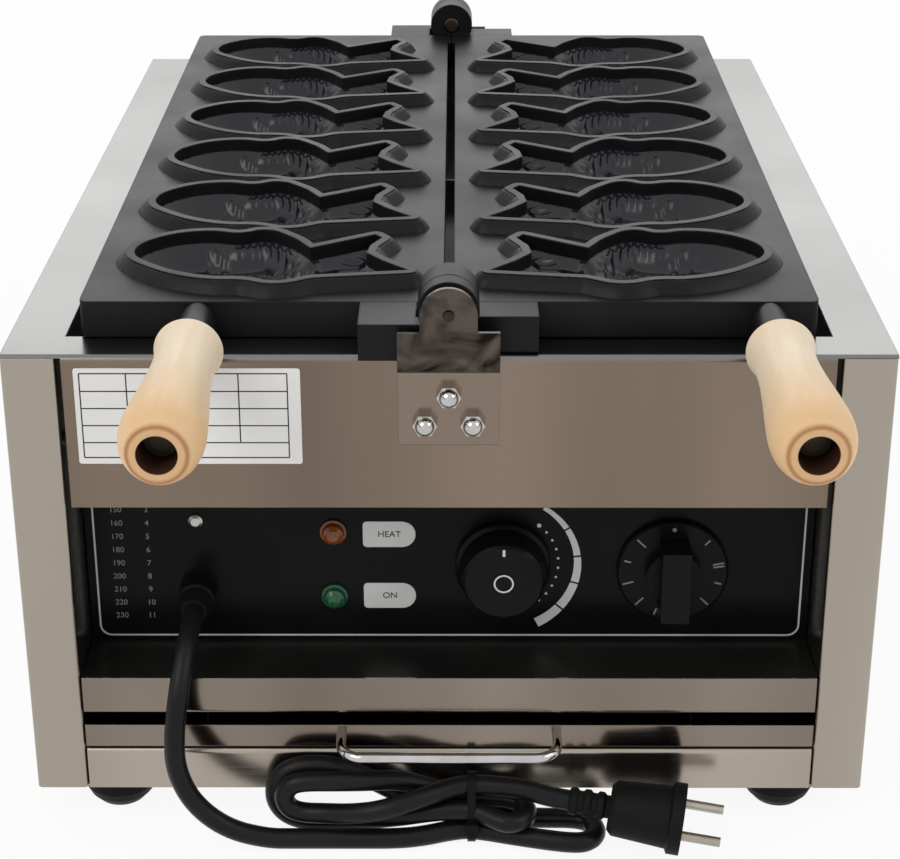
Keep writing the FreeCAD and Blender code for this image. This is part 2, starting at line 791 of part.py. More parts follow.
def thermostat_bulb():
    height = value("element_z")
    bulb_y = value("opening_y + element_turn_margin")
    lead_y = value("front_y + opening_front / 2")
    pass_z = (value("pan_low") + value("fascia_low + panel_cover")) / 2
    drop_y = value("panel_back + thermostat_case_depth / 2")
    x = value("thermostat_x")
    points = [
        Vector(0, bulb_y, height),
        Vector(0, lead_y, height),
        Vector(0, lead_y, pass_z),
        Vector(x, drop_y, pass_z),
        Vector(x, drop_y, value("thermostat_z + thermostat_case_half")),
    ]
    capillary = tube(points, value("capillary_radius"), value("capillary_bend"))
    bulb = cylinder(value("bulb_radius"), 0, bulb_y, bulb_y + value("bulb_length"), height)
    node("thermostat_bulb", shaped("thermostat_bulb", capillary.fuse(bulb).removeSplitter()))


def fish_wire():
    """The edge of one fish cavity in the XY plane, its nose at X = 0 pointing to -X."""
    along = value("fish_length") / DRAWN_FISH_LENGTH
    across = value("plate_length - fish_front_margin - fish_rear_margin") / (FISH_ROWS - 1) / DRAWN_ROW_PITCH
    body = [Vector(u * along, v * across, 0) for u, v in FISH_BODY]
    tail = [Vector(u * along, v * across, 0) for u, v in FISH_TAIL]
    edges, _, _ = biarcs([(point, None) for point in body])
    corners = [body[-1]] + tail + [body[0]]
    edges += [Part.LineSegment(a, b).toShape() for a, b in zip(corners, corners[1:])]
    return Part.Wire(edges)


def prism(wire, low, high):
    face = Part.Face(wire)
    face.translate(Vector(0, 0, low))
    return face.extrude(Vector(0, 0, high - low))


def block(x0, x1, y0, y1, z0, z1):
    return Part.makeBox(x1 - x0, y1 - y0, z1 - z0, Vector(x0, y0, z0))


def cylinder(radius, x, y0, y1, z):
    """A round bar along Y."""
    return Part.makeCylinder(radius, y1 - y0, Vector(x, y0, z), Vector(0, 1, 0))


def sided(shape, mirrored):
    return shape.mirror(Vector(), Vector(1, 0, 0)) if mirrored else shape


def mould_plate(name, mirrored):
    """One cast plate with its fish cavities, drawn on the left of the hinge axis."""
    front, back = value("plate_front"), value("plate_back")
    low, top, half = value("plate_z"), value("plate_top"), value("plate_half")
    slab = block(-half, -value("knuckle_gap") / 2, front, back, low, top)
    corners = [edge for edge in slab.Edges if edge.BoundBox.ZLength > 1 and edge.BoundBox.XMin < -half + 1]
    slab = slab.makeFillet(value("plate_corner"), corners)
    slot, margin = value("centre_slot"), value("centre_slot_margin")
    slab = slab.cut(block(-slot / 2, slot, front + margin, back - margin / 2, low - 1, top + 1))
    cavity = fish_wire()
    rim = cavity.makeOffset2D(value("rim_width"), 0)
    first = front + value("fish_front_margin")
    pitch = value("plate_length - fish_front_margin - fish_rear_margin") / (FISH_ROWS - 1)
    neck = FISH_NECK * value("fish_length") / DRAWN_FISH_LENGTH
    floor = top - value("body_cavity_depth")
    whole = prism(cavity, top - value("tail_cavity_depth"), top + value("rim_height") + 1)
    deep = prism(cavity, floor, top).common(block(-1, neck, -pitch, pitch, floor - 1, top + 1))
    added = []
    removed = []
    for row in range(FISH_ROWS):
        move = Vector(-(half - value("fish_nose_margin")), first + row * pitch, 0)
        rim_solid = prism(rim, top - 1, top + value("rim_height"))
        rim_solid.translate(move)
        added.append(rim_solid)
        for tool in (whole.copy(), deep.copy()):
            tool.translate(move)
            removed.append(tool)
    shape = slab.multiFuse(added).cut(removed).removeSplitter()
    node(name, shaped(name, sided(shape.Solids[0], mirrored)))


def plate_lugs(name, outer_knuckles, handle_inset, mirrored):
    """Hinge lugs, knuckles and handle boss on the edges of one plate, drawn on the left of the hinge axis."""
    front, back = value("plate_front"), value("plate_back")
    low, top, axis_z = value("plate_z"), value("plate_top"), value("axis_z")
    lug, radius, clear = value("lug_width"), value("knuckle_radius"), value("knuckle_gap") / 2
    notch = radius + value("knuckle_clear")
    split = value("knuckle_split")
    if outer_knuckles:
        near, far = split + clear, value("lug_reach")
    else:
        near, far = value("knuckle_start"), split - clear
    solids = []
    for edge_y, outward in ((front, -1), (back, 1)):
        lug_y = sorted([edge_y, edge_y + outward * far])
        knuckle_y = sorted([edge_y + outward * near, edge_y + outward * far])
        knuckle = cylinder(radius, 0, *knuckle_y, axis_z)
        if outer_knuckles:
            solids.append(block(-lug, -notch, *lug_y, low, top))
            foot = block(-notch, -clear, *knuckle_y, low, top)
        else:
            foot = block(-lug, -clear, *lug_y, low, top)
        bore = cylinder(value("pin_radius + pin_clear"), 0, *knuckle_y, axis_z)
        solids += [foot.cut(knuckle), knuckle.cut(bore)]
    handle_x, handle_z = handle_inset - value("plate_half"), value("grip_z")
    boss_y = value("boss_y")
    boss = cylinder(value("boss_radius"), handle_x, boss_y, front, handle_z)
    socket_end = boss_y + value("stud_depth")
    socket = cylinder(value("stud_radius + stud_fit"), handle_x, boss_y, socket_end, handle_z)
    solids.append(boss.cut(socket))
    node(name, shaped(name, Part.makeCompound([sided(solid, mirrored) for solid in solids])))


def handle(side_name, side, inset):
    """Stud, wooden grip and round nut on the cast boss of one plate."""
    x = f"{side} * (plate_half - {inset})"
    stud_name = side_name + "_handle_stud"
    stud_length = "boss_y + stud_depth - stud_y"
    node(stud_name, rod(stud_name, "Y", "stud_radius", (x, "stud_y", "grip_z"), stud_length))
    length = value("grip_length")
    root, waist = value("grip_root_radius"), value("grip_waist_radius")
    swell, end = value("grip_swell_radius"), value("grip_end_radius")
    shoulder = end + value("grip_end_round")
    turns = [(root, 0), (waist, GRIP_WAIST_SHARE), (swell, GRIP_SWELL_SHARE), (shoulder, GRIP_SHOULDER_SHARE),
             (end, 1)]
    profile = Part.BSplineCurve()
    profile.interpolate([Vector(radius, -share * length, 0) for radius, share in turns])
    bore, well = value("stud_radius + grip_bore_gap"), value("grip_well_radius")
    seat = -length + value("grip_well_depth")
    inside = [Vector(end, -length, 0), Vector(well, -length, 0), Vector(well, seat, 0), Vector(bore, seat, 0),
              Vector(bore, 0, 0), Vector(root, 0, 0)]
    edges = [profile.toShape()]
    edges += [Part.LineSegment(a, b).toShape() for a, b in zip(inside, inside[1:])]
    grip = Part.Face(Part.Wire(edges)).revolve(Vector(0, 0, 0), Vector(0, 1, 0), 360)
    item = node(side_name + "_handle_grip", shaped(side_name + "_handle_grip", grip))
    put(item, x, "boss_y", "grip_z")
    nut_y = "grip_end_y + grip_well_depth - grip_nut_height"
    nut = rod(side_name + "_nut_blank", "Y", "grip_nut_radius", (x, nut_y, "grip_z"), "grip_nut_height")
    hole = rod(side_name + "_nut_hole", "Y", "stud_radius + stud_fit", (x, f"{nut_y} - 2", "grip_z"),
               "grip_nut_height + 4")
    node(side_name + "_grip_nut", cut(side_name + "_grip_nut", nut, [hole]))


def hinge_bracket(name, face, out, tab):
    """A stepped bracket: bolted to the face below the deck, its round tab carries the hinge pin."""
    thick = f"({out}) * bracket_thick"
    step_z = "deck_z - bracket_step"
    corners = [
        (face, "deck_z - bracket_drop"), (f"{face} + {thick}", "deck_z - bracket_drop"),
        (f"{face} + {thick}", f"{step_z} - bracket_thick"), (f"{tab} + {thick}", f"{step_z} - bracket_thick"),
        (f"{tab} + {thick}", "axis_z + tab_radius"), (tab, "axis_z + tab_radius"),
        (tab, step_z), (face, step_z),
    ]
    folds = [([3, 7], "bracket_thick")]
    strip = padded(name + "_strip", "YZ_Plane", corners, "2 * bracket_half_width", True, folds)
    span = (f"{face} - bracket_reach", f"{face} + bracket_reach")
    through = "2 * bracket_reach"
    wide = box(name + "_wide", ("-bracket_half_width", "bracket_half_width"), span,
               ("deck_z - bracket_drop", "deck_z + bracket_shoulder"))
    stem = box(name + "_stem", ("-tab_radius", "tab_radius"), span, ("deck_z", "axis_z"))
    axis_start = ("0", span[0], "axis_z")
    arch = rod(name + "_arch", "Y", "tab_radius", axis_start, through)
    shape = doc.addObject("Part::Common", name + "_shape")
    shape.Base = strip
    shape.Tool = fuse(name + "_front_view", [wide, stem, arch])
    tools = [bolt_hole(name, x, face, drop) for x, drop in BOLT_SPOTS]
    tools.append(rod(name + "_pin_hole", "Y", "pin_tip_radius + pin_clear", axis_start, through))
    return node(name, cut(name, shape, tools))


def hinge_pin(name, out, tab, edge):
    """The pin's large part carries both knuckles, its tip is riveted in the bracket."""
    reach = f"({tab} - {edge}) * ({out})"
    tip = f"{reach} + bracket_thick + pin_head"
    pin = turned(name, "XY_Plane", [
        ("0", f"({out}) * pin_start"), ("pin_radius - pin_chamfer", f"({out}) * pin_start"),
        ("pin_radius", f"({out}) * (pin_start + pin_chamfer)"),
        ("pin_radius", f"({out}) * ({reach})"), ("pin_tip_radius", f"({out}) * ({reach})"),
        ("pin_tip_radius", f"({out}) * ({tip})"), ("0", f"({out}) * ({tip})")])
    put(pin, "0", edge, "axis_z")
    return node(name, pin)


def hinge_fasteners():
    bolts = []
    nuts = []
    for face, out in (("front_y", "-1"), ("back_y", "1")):
        for x, drop in BOLT_SPOTS:
            inner = f"({out}) * (-sheet_thick)"
            head = f"{inner} - ({out}) * bolt_head_height"
            seat = f"({out}) * bracket_thick"
            tip = f"({out}) * (bracket_thick + nut_height)"
            bolt = turned("bracket_bolt", "XY_Plane", [
                ("0", head), ("bolt_head_radius", head), ("bolt_head_radius", inner), ("bolt_radius", inner),
                ("bolt_radius", tip), ("0", tip)])
            put(bolt, x, face, f"deck_z - {drop}")
            bolts.append(bolt)
            hexagon = doc.addObject("Part::Prism", "acorn_hexagon")
            hexagon.Polygon = 6
            bind(hexagon, "Circumradius", "nut_radius")
            bind(hexagon, "Height", "nut_height")
            hexagon.Placement.Rotation = Rotation(Vector(1, 0, 0), 90 if out == "-1" else -90)
            put(hexagon, x, f"{face} + {seat}", f"deck_z - {drop}")
            dome = doc.addObject("Part::Sphere", "acorn_dome")
            bind(dome, "Radius", "nut_dome")
            put(dome, x, f"{face} + {tip}", f"deck_z - {drop}")
            well = rod("acorn_well", "Y", "bolt_radius + stud_fit",
                       (x, f"{face} + ({out}) * (bracket_thick + nut_height / 2) - nut_height / 2 - stud_fit",
                        f"deck_z - {drop}"), "nut_height + 2 * stud_fit")
            nuts.append(cut("acorn_nut", fuse("acorn_blank", [hexagon, dome]), [well]))
    node("bracket_bolts", group("bracket_bolts", bolts))
    node("bracket_nuts", group("bracket_nuts", nuts))


def crumb_tray():
    lip = box("tray_lip", ("-rail_half", "rail_half"), ("front_y", "front_y + sheet_thick"),
              ("lip_low", "lip_top"))
    rim = "lip_top - tray_top_gap"
    pan = box("tray_pan", ("-tray_half_width", "tray_half_width"),
              ("front_y + sheet_thick / 2", "front_y + tray_length"), ("tray_low", rim))
    hollow = box("tray_hollow", ("-tray_half_width + tray_wall", "tray_half_width - tray_wall"),
                 ("front_y + sheet_thick", "front_y + tray_length - tray_wall"),
                 ("tray_low + tray_wall", "lip_top + sheet_thick"))
    node("crumb_tray", cut("crumb_tray", fuse("tray_blank", [lip, pan]), [hollow]))
    half, y, z = value("tray_handle_half"), value("front_y"), value("tray_handle_z")
    reach = value("tray_handle_reach")
    points = [Vector(-half, y, z), Vector(-half, y - reach, z), Vector(half, y - reach, z),
              Vector(half, y, z)]
    rod_shape = tube(points, value("tray_handle_radius"), value("tray_handle_bend"))
    node("tray_handle", shaped("tray_handle", rod_shape))
    nuts = [rod("tray_nut", "Y", "tray_nut_radius", (f"{side} * tray_handle_half", "front_y + sheet_thick",
                                                    "tray_handle_z"), "tray_nut_height") for side in (-1, 1)]
    node("tray_handle_nuts", group("tray_handle_nuts", nuts))
    strips = []
    along = ("front_y + rail_return + runner_end_gap", "front_y + tray_length")
    for side in (-1, 1):
        for x, z in (
            (("runner_x", "runner_x + sheet_thick"), ("base_top", "lip_top - tray_top_gap")),
            (("runner_x - runner_ledge", "runner_x"), ("lip_low - sheet_thick", "lip_low")),
            (("runner_x + sheet_thick", "runner_x + runner_foot"), ("base_top", "base_top + sheet_thick")),
        ):
            across = sorted([f"{side} * ({formula})" for formula in x], key=value)
            strips.append(box("runner_strip", across, along, z))
    node("tray_runners", group("tray_runners", strips))


def control_panel():
    sheet = box("panel_sheet", ("-rail_half", "rail_half"), ("panel_y", "panel_back"),
                ("shelf_top", "fascia_low + panel_cover"))
    holes = []
    for x, z, radius in (
        ("thermostat_x", "thermostat_z", "shaft_radius + shaft_hole_gap"),
        ("timer_x", "timer_z", "shaft_radius + shaft_hole_gap"),
        ("lamp_x", "window_z + amber_rise", "lamp_body_radius + fit_gap"),
        ("lamp_x", "window_z + green_rise", "lamp_body_radius + fit_gap"),
        ("earth_x", "window_z + earth_rise", "earth_shank_radius + fit_gap"),
        ("gland_x", "gland_z", "gland_thread_radius + fit_gap"),
    ):
        holes.append(rod("panel_hole", "Y", radius, (x, "panel_y - panel_thick", z), "3 * panel_thick"))
    node("control_panel", cut("control_panel", sheet, holes))
    for name, rise in (("amber_lamp", "amber_rise"), ("green_lamp", "green_rise")):
        lamp = turned(name, "XY_Plane", [
            ("0", "-lamp_bezel_radius"), ("lamp_bezel_radius * 0.45", "-lamp_bezel_radius * 0.92"),
            ("lamp_bezel_radius * 0.75", "-lamp_bezel_radius * 0.68"),
            ("lamp_bezel_radius * 0.85", "-lamp_collar - lamp_step"), ("lamp_bezel_radius", "-lamp_collar"),
            ("lamp_bezel_radius", "0"), ("lamp_body_radius", "0"),
            ("lamp_body_radius", "lamp_body_length"), ("0", "lamp_body_length")])
        put(lamp, "lamp_x", "panel_y", f"window_z + {rise}")
        node(name, lamp)
    tip = "panel_thick + earth_screw_length"
    screw = turned("earth_screw", "XY_Plane", [
        ("0", "-earth_head_height"), ("earth_head_radius * 0.6", "-earth_head_height"),
        ("earth_head_radius", "-earth_head_edge"), ("earth_head_radius", "0"), ("earth_shank_radius", "0"),
        ("earth_shank_radius", tip), ("0", tip)])
    put(screw, "earth_x", "panel_y", "window_z + earth_rise")
    node("earth_screw", screw)


def switch_bodies():
    for name, x, z, half, depth in (
        ("thermostat_body", "thermostat_x", "thermostat_z", "thermostat_case_half", "thermostat_case_depth"),
        ("timer_body", "timer_x", "timer_z", "timer_case_half", "timer_case_depth"),
    ):
        case = box(name + "_case", (f"{x} - {half}", f"{x} + {half}"),
                   ("panel_back", f"panel_back + {depth}"), (f"{z} - {half}", f"{z} + {half}"))
        bore = rod(name + "_bore", "Y", "shaft_radius + shaft_clear", (x, "panel_y", z),
                   "panel_thick + shaft_depth + shaft_hole_gap")
        node(name, cut(name, case, [bore]))


def knobs():
    face = "-(knob_gap + thermostat_knob_depth)"
    dial = turned("thermostat_knob", "XY_Plane", [
        ("0", f"{face} - thermostat_cap_rise"), ("thermostat_cap_radius", f"{face} - thermostat_cap_rise"),
        ("thermostat_cap_radius", face), ("thermostat_face_radius - knob_edge", face),
        ("thermostat_face_radius", f"{face} + knob_edge"),
        ("thermostat_face_radius + knob_edge", "-knob_gap - thermostat_skirt - knob_edge"),
        ("thermostat_knob_radius", "-knob_gap - thermostat_skirt"), ("thermostat_knob_radius", "-knob_gap"),
        ("0", "-knob_gap")])
    put(dial, "thermostat_x", "panel_y", "thermostat_z")
    node("thermostat_knob", dial)
    hub = "-(knob_gap + timer_hub_depth)"
    rise = "-(knob_gap + timer_disc_thick)"
    disc = turned("timer_disc", "XY_Plane", [
        ("0", hub), ("timer_hub_radius", hub), ("timer_hub_radius", rise),
        ("timer_disc_radius - timer_disc_edge", rise), ("timer_disc_radius", f"{rise} + timer_disc_edge"),
        ("timer_disc_radius", "-knob_gap"), ("0", "-knob_gap")])
    put(disc, "timer_x", "panel_y", "timer_z")
    bar = box("timer_bar", ("timer_x - timer_bar_width / 2", "timer_x + timer_bar_width / 2"),
              ("panel_y - knob_gap - timer_bar_depth", "panel_y - knob_gap - timer_disc_thick / 2"),
              ("timer_z - timer_bar_length / 2", "timer_z + timer_bar_length / 2"))
    node("timer_knob", fuse("timer_knob", [disc, bar]))
    for switch in ("thermostat", "timer"):
        start = (f"{switch}_x", "panel_y - knob_gap", f"{switch}_z")
        shaft = rod(f"{switch}_shaft", "Y", "shaft_radius", start, "knob_gap + panel_thick + shaft_depth")
        node(f"{switch}_shaft", shaft)


def electrics():
    x = ("block_x - block_length / 2", "block_x + block_length / 2")
    y = ("front_y + block_y", "front_y + block_y + block_width")
    base = box("block_base", x, y, ("shelf_top", "shelf_top + block_height / 2"))
    ridge_y = ("front_y + block_y + block_width / 4", "front_y + block_y + block_width * 3 / 4")
    ridge = box("block_ridge", x, ridge_y, ("shelf_top", "shelf_top + block_height"))
    node("terminal_block", fuse("terminal_block", [base, ridge]))
    lower = box("contactor_base", ("contactor_x - contactor_width / 2", "contactor_x + contactor_width / 2"),
                ("front_y + contactor_y", "front_y + contactor_y + contactor_length"),
                ("shelf_top", "shelf_top + contactor_base_height"))
    upper = box("contactor_top", ("contactor_x - contactor_width / 2", "contactor_x + contactor_width / 2"),
                ("front_y + contactor_y + contactor_step",
                 "front_y + contactor_y + contactor_length - contactor_step"),
                ("shelf_top", "shelf_top + contactor_height"))
    node("contactor", fuse("contactor", [lower, upper]))
    inner_wires()


def inner_wires():
    """Leads low over the shelf, from gland to block, block to contactor and to the switches."""
    front = value("front_y")
    block_x = value("block_x")
    side_x = value("block_x + wire_spread")
    block_back = front + value("block_y + block_width")
    gland_end = value("panel_back + gland_nut_height + gland_thread_end")
    gland_back = Vector(value("gland_x"), gland_end, value("gland_z"))
    contactor_x = value("contactor_x - contactor_width / 2")
    contactor_y = front + value("contactor_y + contactor_length / 2")
    case_z = value("thermostat_z - thermostat_case_half")
    case_y = value("panel_back + thermostat_case_depth / 2")
    timer_z = value("timer_z - timer_case_half")
    timer_y = value("panel_back + timer_case_depth / 2")
    block_front = front + value("block_y")
    bow_y = block_front - value("wire_bow")
    low = value("shelf_top + block_height / 4")
    thermostat_x, timer_x = value("thermostat_x"), value("timer_x")
    routes = [
        [gland_back, Vector(gland_back.x, bow_y, gland_back.z),
         Vector(gland_back.x, bow_y, low), Vector(gland_back.x, block_front, low)],
        [Vector(block_x, block_back, low), Vector(block_x, contactor_y, low),
         Vector(contactor_x, contactor_y, low)],
        [Vector(side_x, block_front, low), Vector(side_x, case_y, low),
         Vector(thermostat_x, case_y, low), Vector(thermostat_x, case_y, case_z)],
        [Vector(contactor_x + value("contactor_width"), contactor_y, low), Vector(timer_x, contactor_y, low),
         Vector(timer_x, timer_y, low), Vector(timer_x, timer_y, timer_z)],
    ]
    wires = [shaped("wire", tube(route, value("wire_radius"), 3 * value("wire_radius"))) for route in routes]
    node("inner_wires", group("inner_wires", wires))


def gland():
    thread_end = "panel_thick + gland_nut_height + gland_thread_end"
    body = turned("cord_gland", "XY_Plane", [
        ("0", "-gland_length"), ("gland_tip_radius", "-gland_length"),
        ("gland_radius - gland_taper", "-gland_collar - gland_taper"),
        ("gland_radius", "-gland_collar"), ("gland_radius", "0"), ("gland_thread_radius", "0"),
        ("gland_thread_radius", thread_end), ("0", thread_end)])
    put(body, "gland_x", "panel_y", "gland_z")
    node("cord_gland", body)
    start = ("gland_x", "panel_back", "gland_z")
    nut = rod("gland_nut_blank", "Y", "gland_nut_radius", start, "gland_nut_height")
    hole = rod("gland_nut_hole", "Y", "gland_thread_radius + stud_fit", ("gland_x", "panel_y", "gland_z"),
               "panel_thick + gland_nut_height + 1")
    node("gland_nut", cut("gland_nut", nut, [hole]))


def in_front(x, out, z):
    """A point given across, out from the front plane, and height."""
    return Vector(x, value("front_y") + out, z)


def cord():
    points = [in_front(*spot) for spot in CORD_ROUTE]
    edges, radii = rounded_path(points, lambda run, turn: 0.45 * run / math.tan(turn / 2))
    radius = value("cord_diameter") / 2
    shape = pipe(edges, points[0], points[1] - points[0], radius)
    length = Part.Wire(edges).Length
    print("cord radii", [round(bend, 1) for bend in radii])
    print("cord length", round(length, 1))
    node("power_cord", shaped("power_cord", shape))
    return length


def ease(share):
    """A smooth step from 0 to 1."""
    share = min(max(share, 0.0), 1.0)
    return share * share * (3 - 2 * share)


def between(start, end, share):
    return start + (end - start) * ease(share)


def hank_stations():
    """Points of the hank's centre line, each with its direction where a bend fixes it."""
    pitch = value("cord_diameter + loop_gap")
    floor = value("cord_diameter / 2 + floor_gap")
    front = HANK_BACK - pitch
    stations = []

    def lift(x):
        return HANK_TIE_LIFT * math.exp(-((x - HANK_TIE_X) / HANK_TIE_SPREAD) ** 2)

    def add(x, out, z, heading=None):
        stations.append((in_front(x, out, z + lift(x)), heading))

    def strand_to_tie(turn, places):
        """Front strand of a turn, from the left up to the tie."""
        for x in places:
            if turn == 0:
                share = (x - HANK_FIRST_GATHER_X) / (HANK_TIE_X - HANK_FIRST_GATHER_X)
                out, z = between(HANK_START[1], front, share), floor
            else:
                out, z = HANK_LOBE_LOW[turn - 1]
                if turn < HANK_TURNS:
                    out = between(out, front, (x - HANK_GATHER_X) / HANK_GATHER_RUN)
                    z = between(z, floor + turn * pitch, (x - HANK_GATHER_X) / HANK_CLIMB_RUN[0])
                else:
                    share = (x - HANK_LEFT_X) / (HANK_TIE_X - HANK_LEFT_X)
                    out = between(out, (HANK_BACK + front) / 2, share)
                    out -= HANK_BULGE * math.sin(math.pi * share) ** 2
                    z = between(z, floor + turn * pitch, (x - HANK_LEFT_X) / HANK_CLIMB_RUN[1])
            add(x, out, z, Vector(1, 0, 0) if x == HANK_TIE_X else None)

    def right_bend(turn):
        middle = HANK_RIGHT_X - HANK_RIGHT_STEP * turn
        z = floor + turn * pitch
        steps = 4 - turn
        swing = 2 * math.atan2(pitch, middle - HANK_TIE_X)
        add((HANK_TIE_X + middle) / 2, front - pitch / 2, z, Vector(math.cos(swing), -math.sin(swing), 0))
        for eighth in range(5):
            angle = math.radians(-90 + 45 * eighth)
            add(middle + pitch * math.cos(angle), HANK_BACK - pitch + pitch * math.sin(angle), z,
                Vector(-math.sin(angle), math.cos(angle), 0))
        for step in range(1, steps):
            add(middle + (HANK_TIE_X - middle) * step / steps, HANK_BACK, z)

    def rising_strand(turn, places):
        """Back strand of a turn, from the tie up to the top of the left lobe."""
        top_out, top_z = HANK_LOBE_TOP[turn]
        for x in places:
            share = (HANK_TIE_X - x) / HANK_RISE[turn]
            sideways = share if turn == 0 else -x / HANK_RISE[turn]
            add(x, between(HANK_BACK, top_out, sideways), between(floor + turn * pitch, top_z, share))

    def left_bend(turn):
        top_out, top_z = HANK_LOBE_TOP[turn]
        low_out, low_z = HANK_LOBE_LOW[turn]
        radius = (top_z - low_z) / 2
        for eighth in range(5):
            angle = math.radians(90 + 45 * eighth)
            add(HANK_LEFT_X + radius * math.cos(angle), top_out + (low_out - top_out) * eighth / 4,
                (top_z + low_z) / 2 + radius * math.sin(angle), Vector(-math.sin(angle), 0, math.cos(angle)))

    strand_to_tie(0, (HANK_START[0], *HANK_FIRST_STRAND, HANK_TIE_X))
    for turn in range(HANK_TURNS):
        right_bend(turn)
        rising_strand(turn, (HANK_TIE_X, *HANK_BACK_STRAND))
        left_bend(turn)
        strand_to_tie(turn + 1, (*HANK_FRONT_STRAND, HANK_TIE_X))
    for x, out, z in HANK_CROSSING:
        stations.append((in_front(x, out, z), None))
    neck = in_front(*PLUG_NECK)
    stations.append((neck - PLUG_AXIS * value("cord_diameter"), PLUG_AXIS))
    stations.append((neck, PLUG_AXIS))
    stations[0] = (stations[0][0], Vector(1, 0, 0))
    return stations


# Points taken on each arc to measure the gap between the cord's turns
ARC_SAMPLES = 6


def arc_edge(start, heading, end):
    """The arc that leaves start along heading and reaches end, with its points and radius."""
    chord = end - start
    along = Vector(chord).normalize()
    half_turn = heading.getAngle(along)
    if half_turn < 1e-4:
        spots = [start + chord * (step / ARC_SAMPLES) for step in range(ARC_SAMPLES)]
        return Part.LineSegment(start, end).toShape(), spots, math.inf
    side = (heading - along * heading.dot(along)).normalize()
    radius = chord.Length / (2 * math.sin(half_turn))
    middle = (start + end) * 0.5 + side * (radius - radius * math.cos(half_turn))
    edge = Part.Arc(start, middle, end).toShape()
    return edge, edge.discretize(ARC_SAMPLES + 1)[:-1], radius


def biarcs(stations):
    """Two tangent arcs between each station and the next. Gives edges, sample points and radii."""
    points = [station[0] for station in stations]
    headings = []
    for index, (point, heading) in enumerate(stations):
        if heading is None:
            near = points[max(index - 1, 0):index + 2]
            runs = [b - a for a, b in zip(near, near[1:])]
            heading = sum((run * (1 / run.Length ** 2) for run in runs), Vector())
        headings.append(Vector(heading).normalize())
    edges = []
    samples = []
    radii = []
    for start, end, leave, arrive in zip(points, points[1:], headings, headings[1:]):
        gap = end - start
        spread = 2 * (1 - leave.dot(arrive))
        both = gap.dot(leave + arrive)
        if spread < 1e-9:
            reach = gap.Length ** 2 / (2 * both)
        else:
            reach = (math.sqrt(both ** 2 + spread * gap.Length ** 2) - both) / spread
        joint = (start + end + (leave - arrive) * reach) * 0.5
        joint_heading = (end - arrive * reach - start - leave * reach).normalize()
        for edge, spots, radius in (arc_edge(start, leave, joint), arc_edge(joint, joint_heading, end)):
            edges.append(edge)
            samples += spots
            radii.append(radius)
    samples.append(points[-1])
    return edges, samples, radii


def least_self_gap(samples, diameter):
    """Least clear distance between parts of the cord that lie more than a tight half turn apart along it."""
    along = [0.0]
    for before, after in zip(samples, samples[1:]):
        along.append(along[-1] + (after - before).Length)
    least = math.inf
    for index, point in enumerate(samples):
        for other in range(index + 1, len(samples)):
            if along[other] - along[index] > math.pi * diameter:
                least = min(least, (samples[other] - point).Length - diameter)
    return least


def hank(free_length):
    diameter = value("cord_diameter")
    edges, samples, radii = biarcs(hank_stations())
    shape = pipe(edges, samples[0], Vector(1, 0, 0), diameter / 2)
    length = Part.Wire(edges).Length
    print("hank tightest radius", round(min(radii), 2))
    print("hank least self gap", round(least_self_gap(samples, diameter), 2))
    print("hank length", round(length, 1))
    print("whole cord", round(free_length + length, 1))
    node("cord_hank", shaped("cord_hank", shape))


def cable_tie():
    """A flat band drawn round the strands at the waist of the hank, with its square lock in front."""
    pitch = value("cord_diameter + loop_gap")
    floor = value("cord_diameter / 2 + floor_gap") + HANK_TIE_LIFT
    front = HANK_BACK - pitch
    width = value("tie_width")
    spots = [(front, floor), (HANK_BACK, floor), (HANK_BACK, floor + pitch),
             ((HANK_BACK + front) / 2, floor + 2 * pitch), (front, floor + pitch)]
    loop = Part.makePolygon([in_front(HANK_TIE_X - width / 2, *spot) for spot in spots + spots[:1]])
    inside = loop.makeOffset2D(value("cord_diameter / 2 + tie_fit"), 0)
    outside = loop.makeOffset2D(value("cord_diameter / 2 + tie_fit + tie_thick"), 0)
    band = Part.Face(outside).cut(Part.Face(inside)).extrude(Vector(width, 0, 0))
    lock_y = value("front_y") + front - value("cord_diameter / 2 + tie_fit + tie_thick + tie_lock_depth")
    lock_half = value("tie_lock_width / 2")
    lock = block(HANK_TIE_X - lock_half, HANK_TIE_X + lock_half,
                 lock_y, lock_y + value("tie_lock_depth + tie_lock_bite"),
                 floor + value("tie_lock_low"), floor + value("tie_lock_high"))
    node("cable_tie", shaped("cable_tie", band.fuse(lock).removeSplitter().Solids[0]))


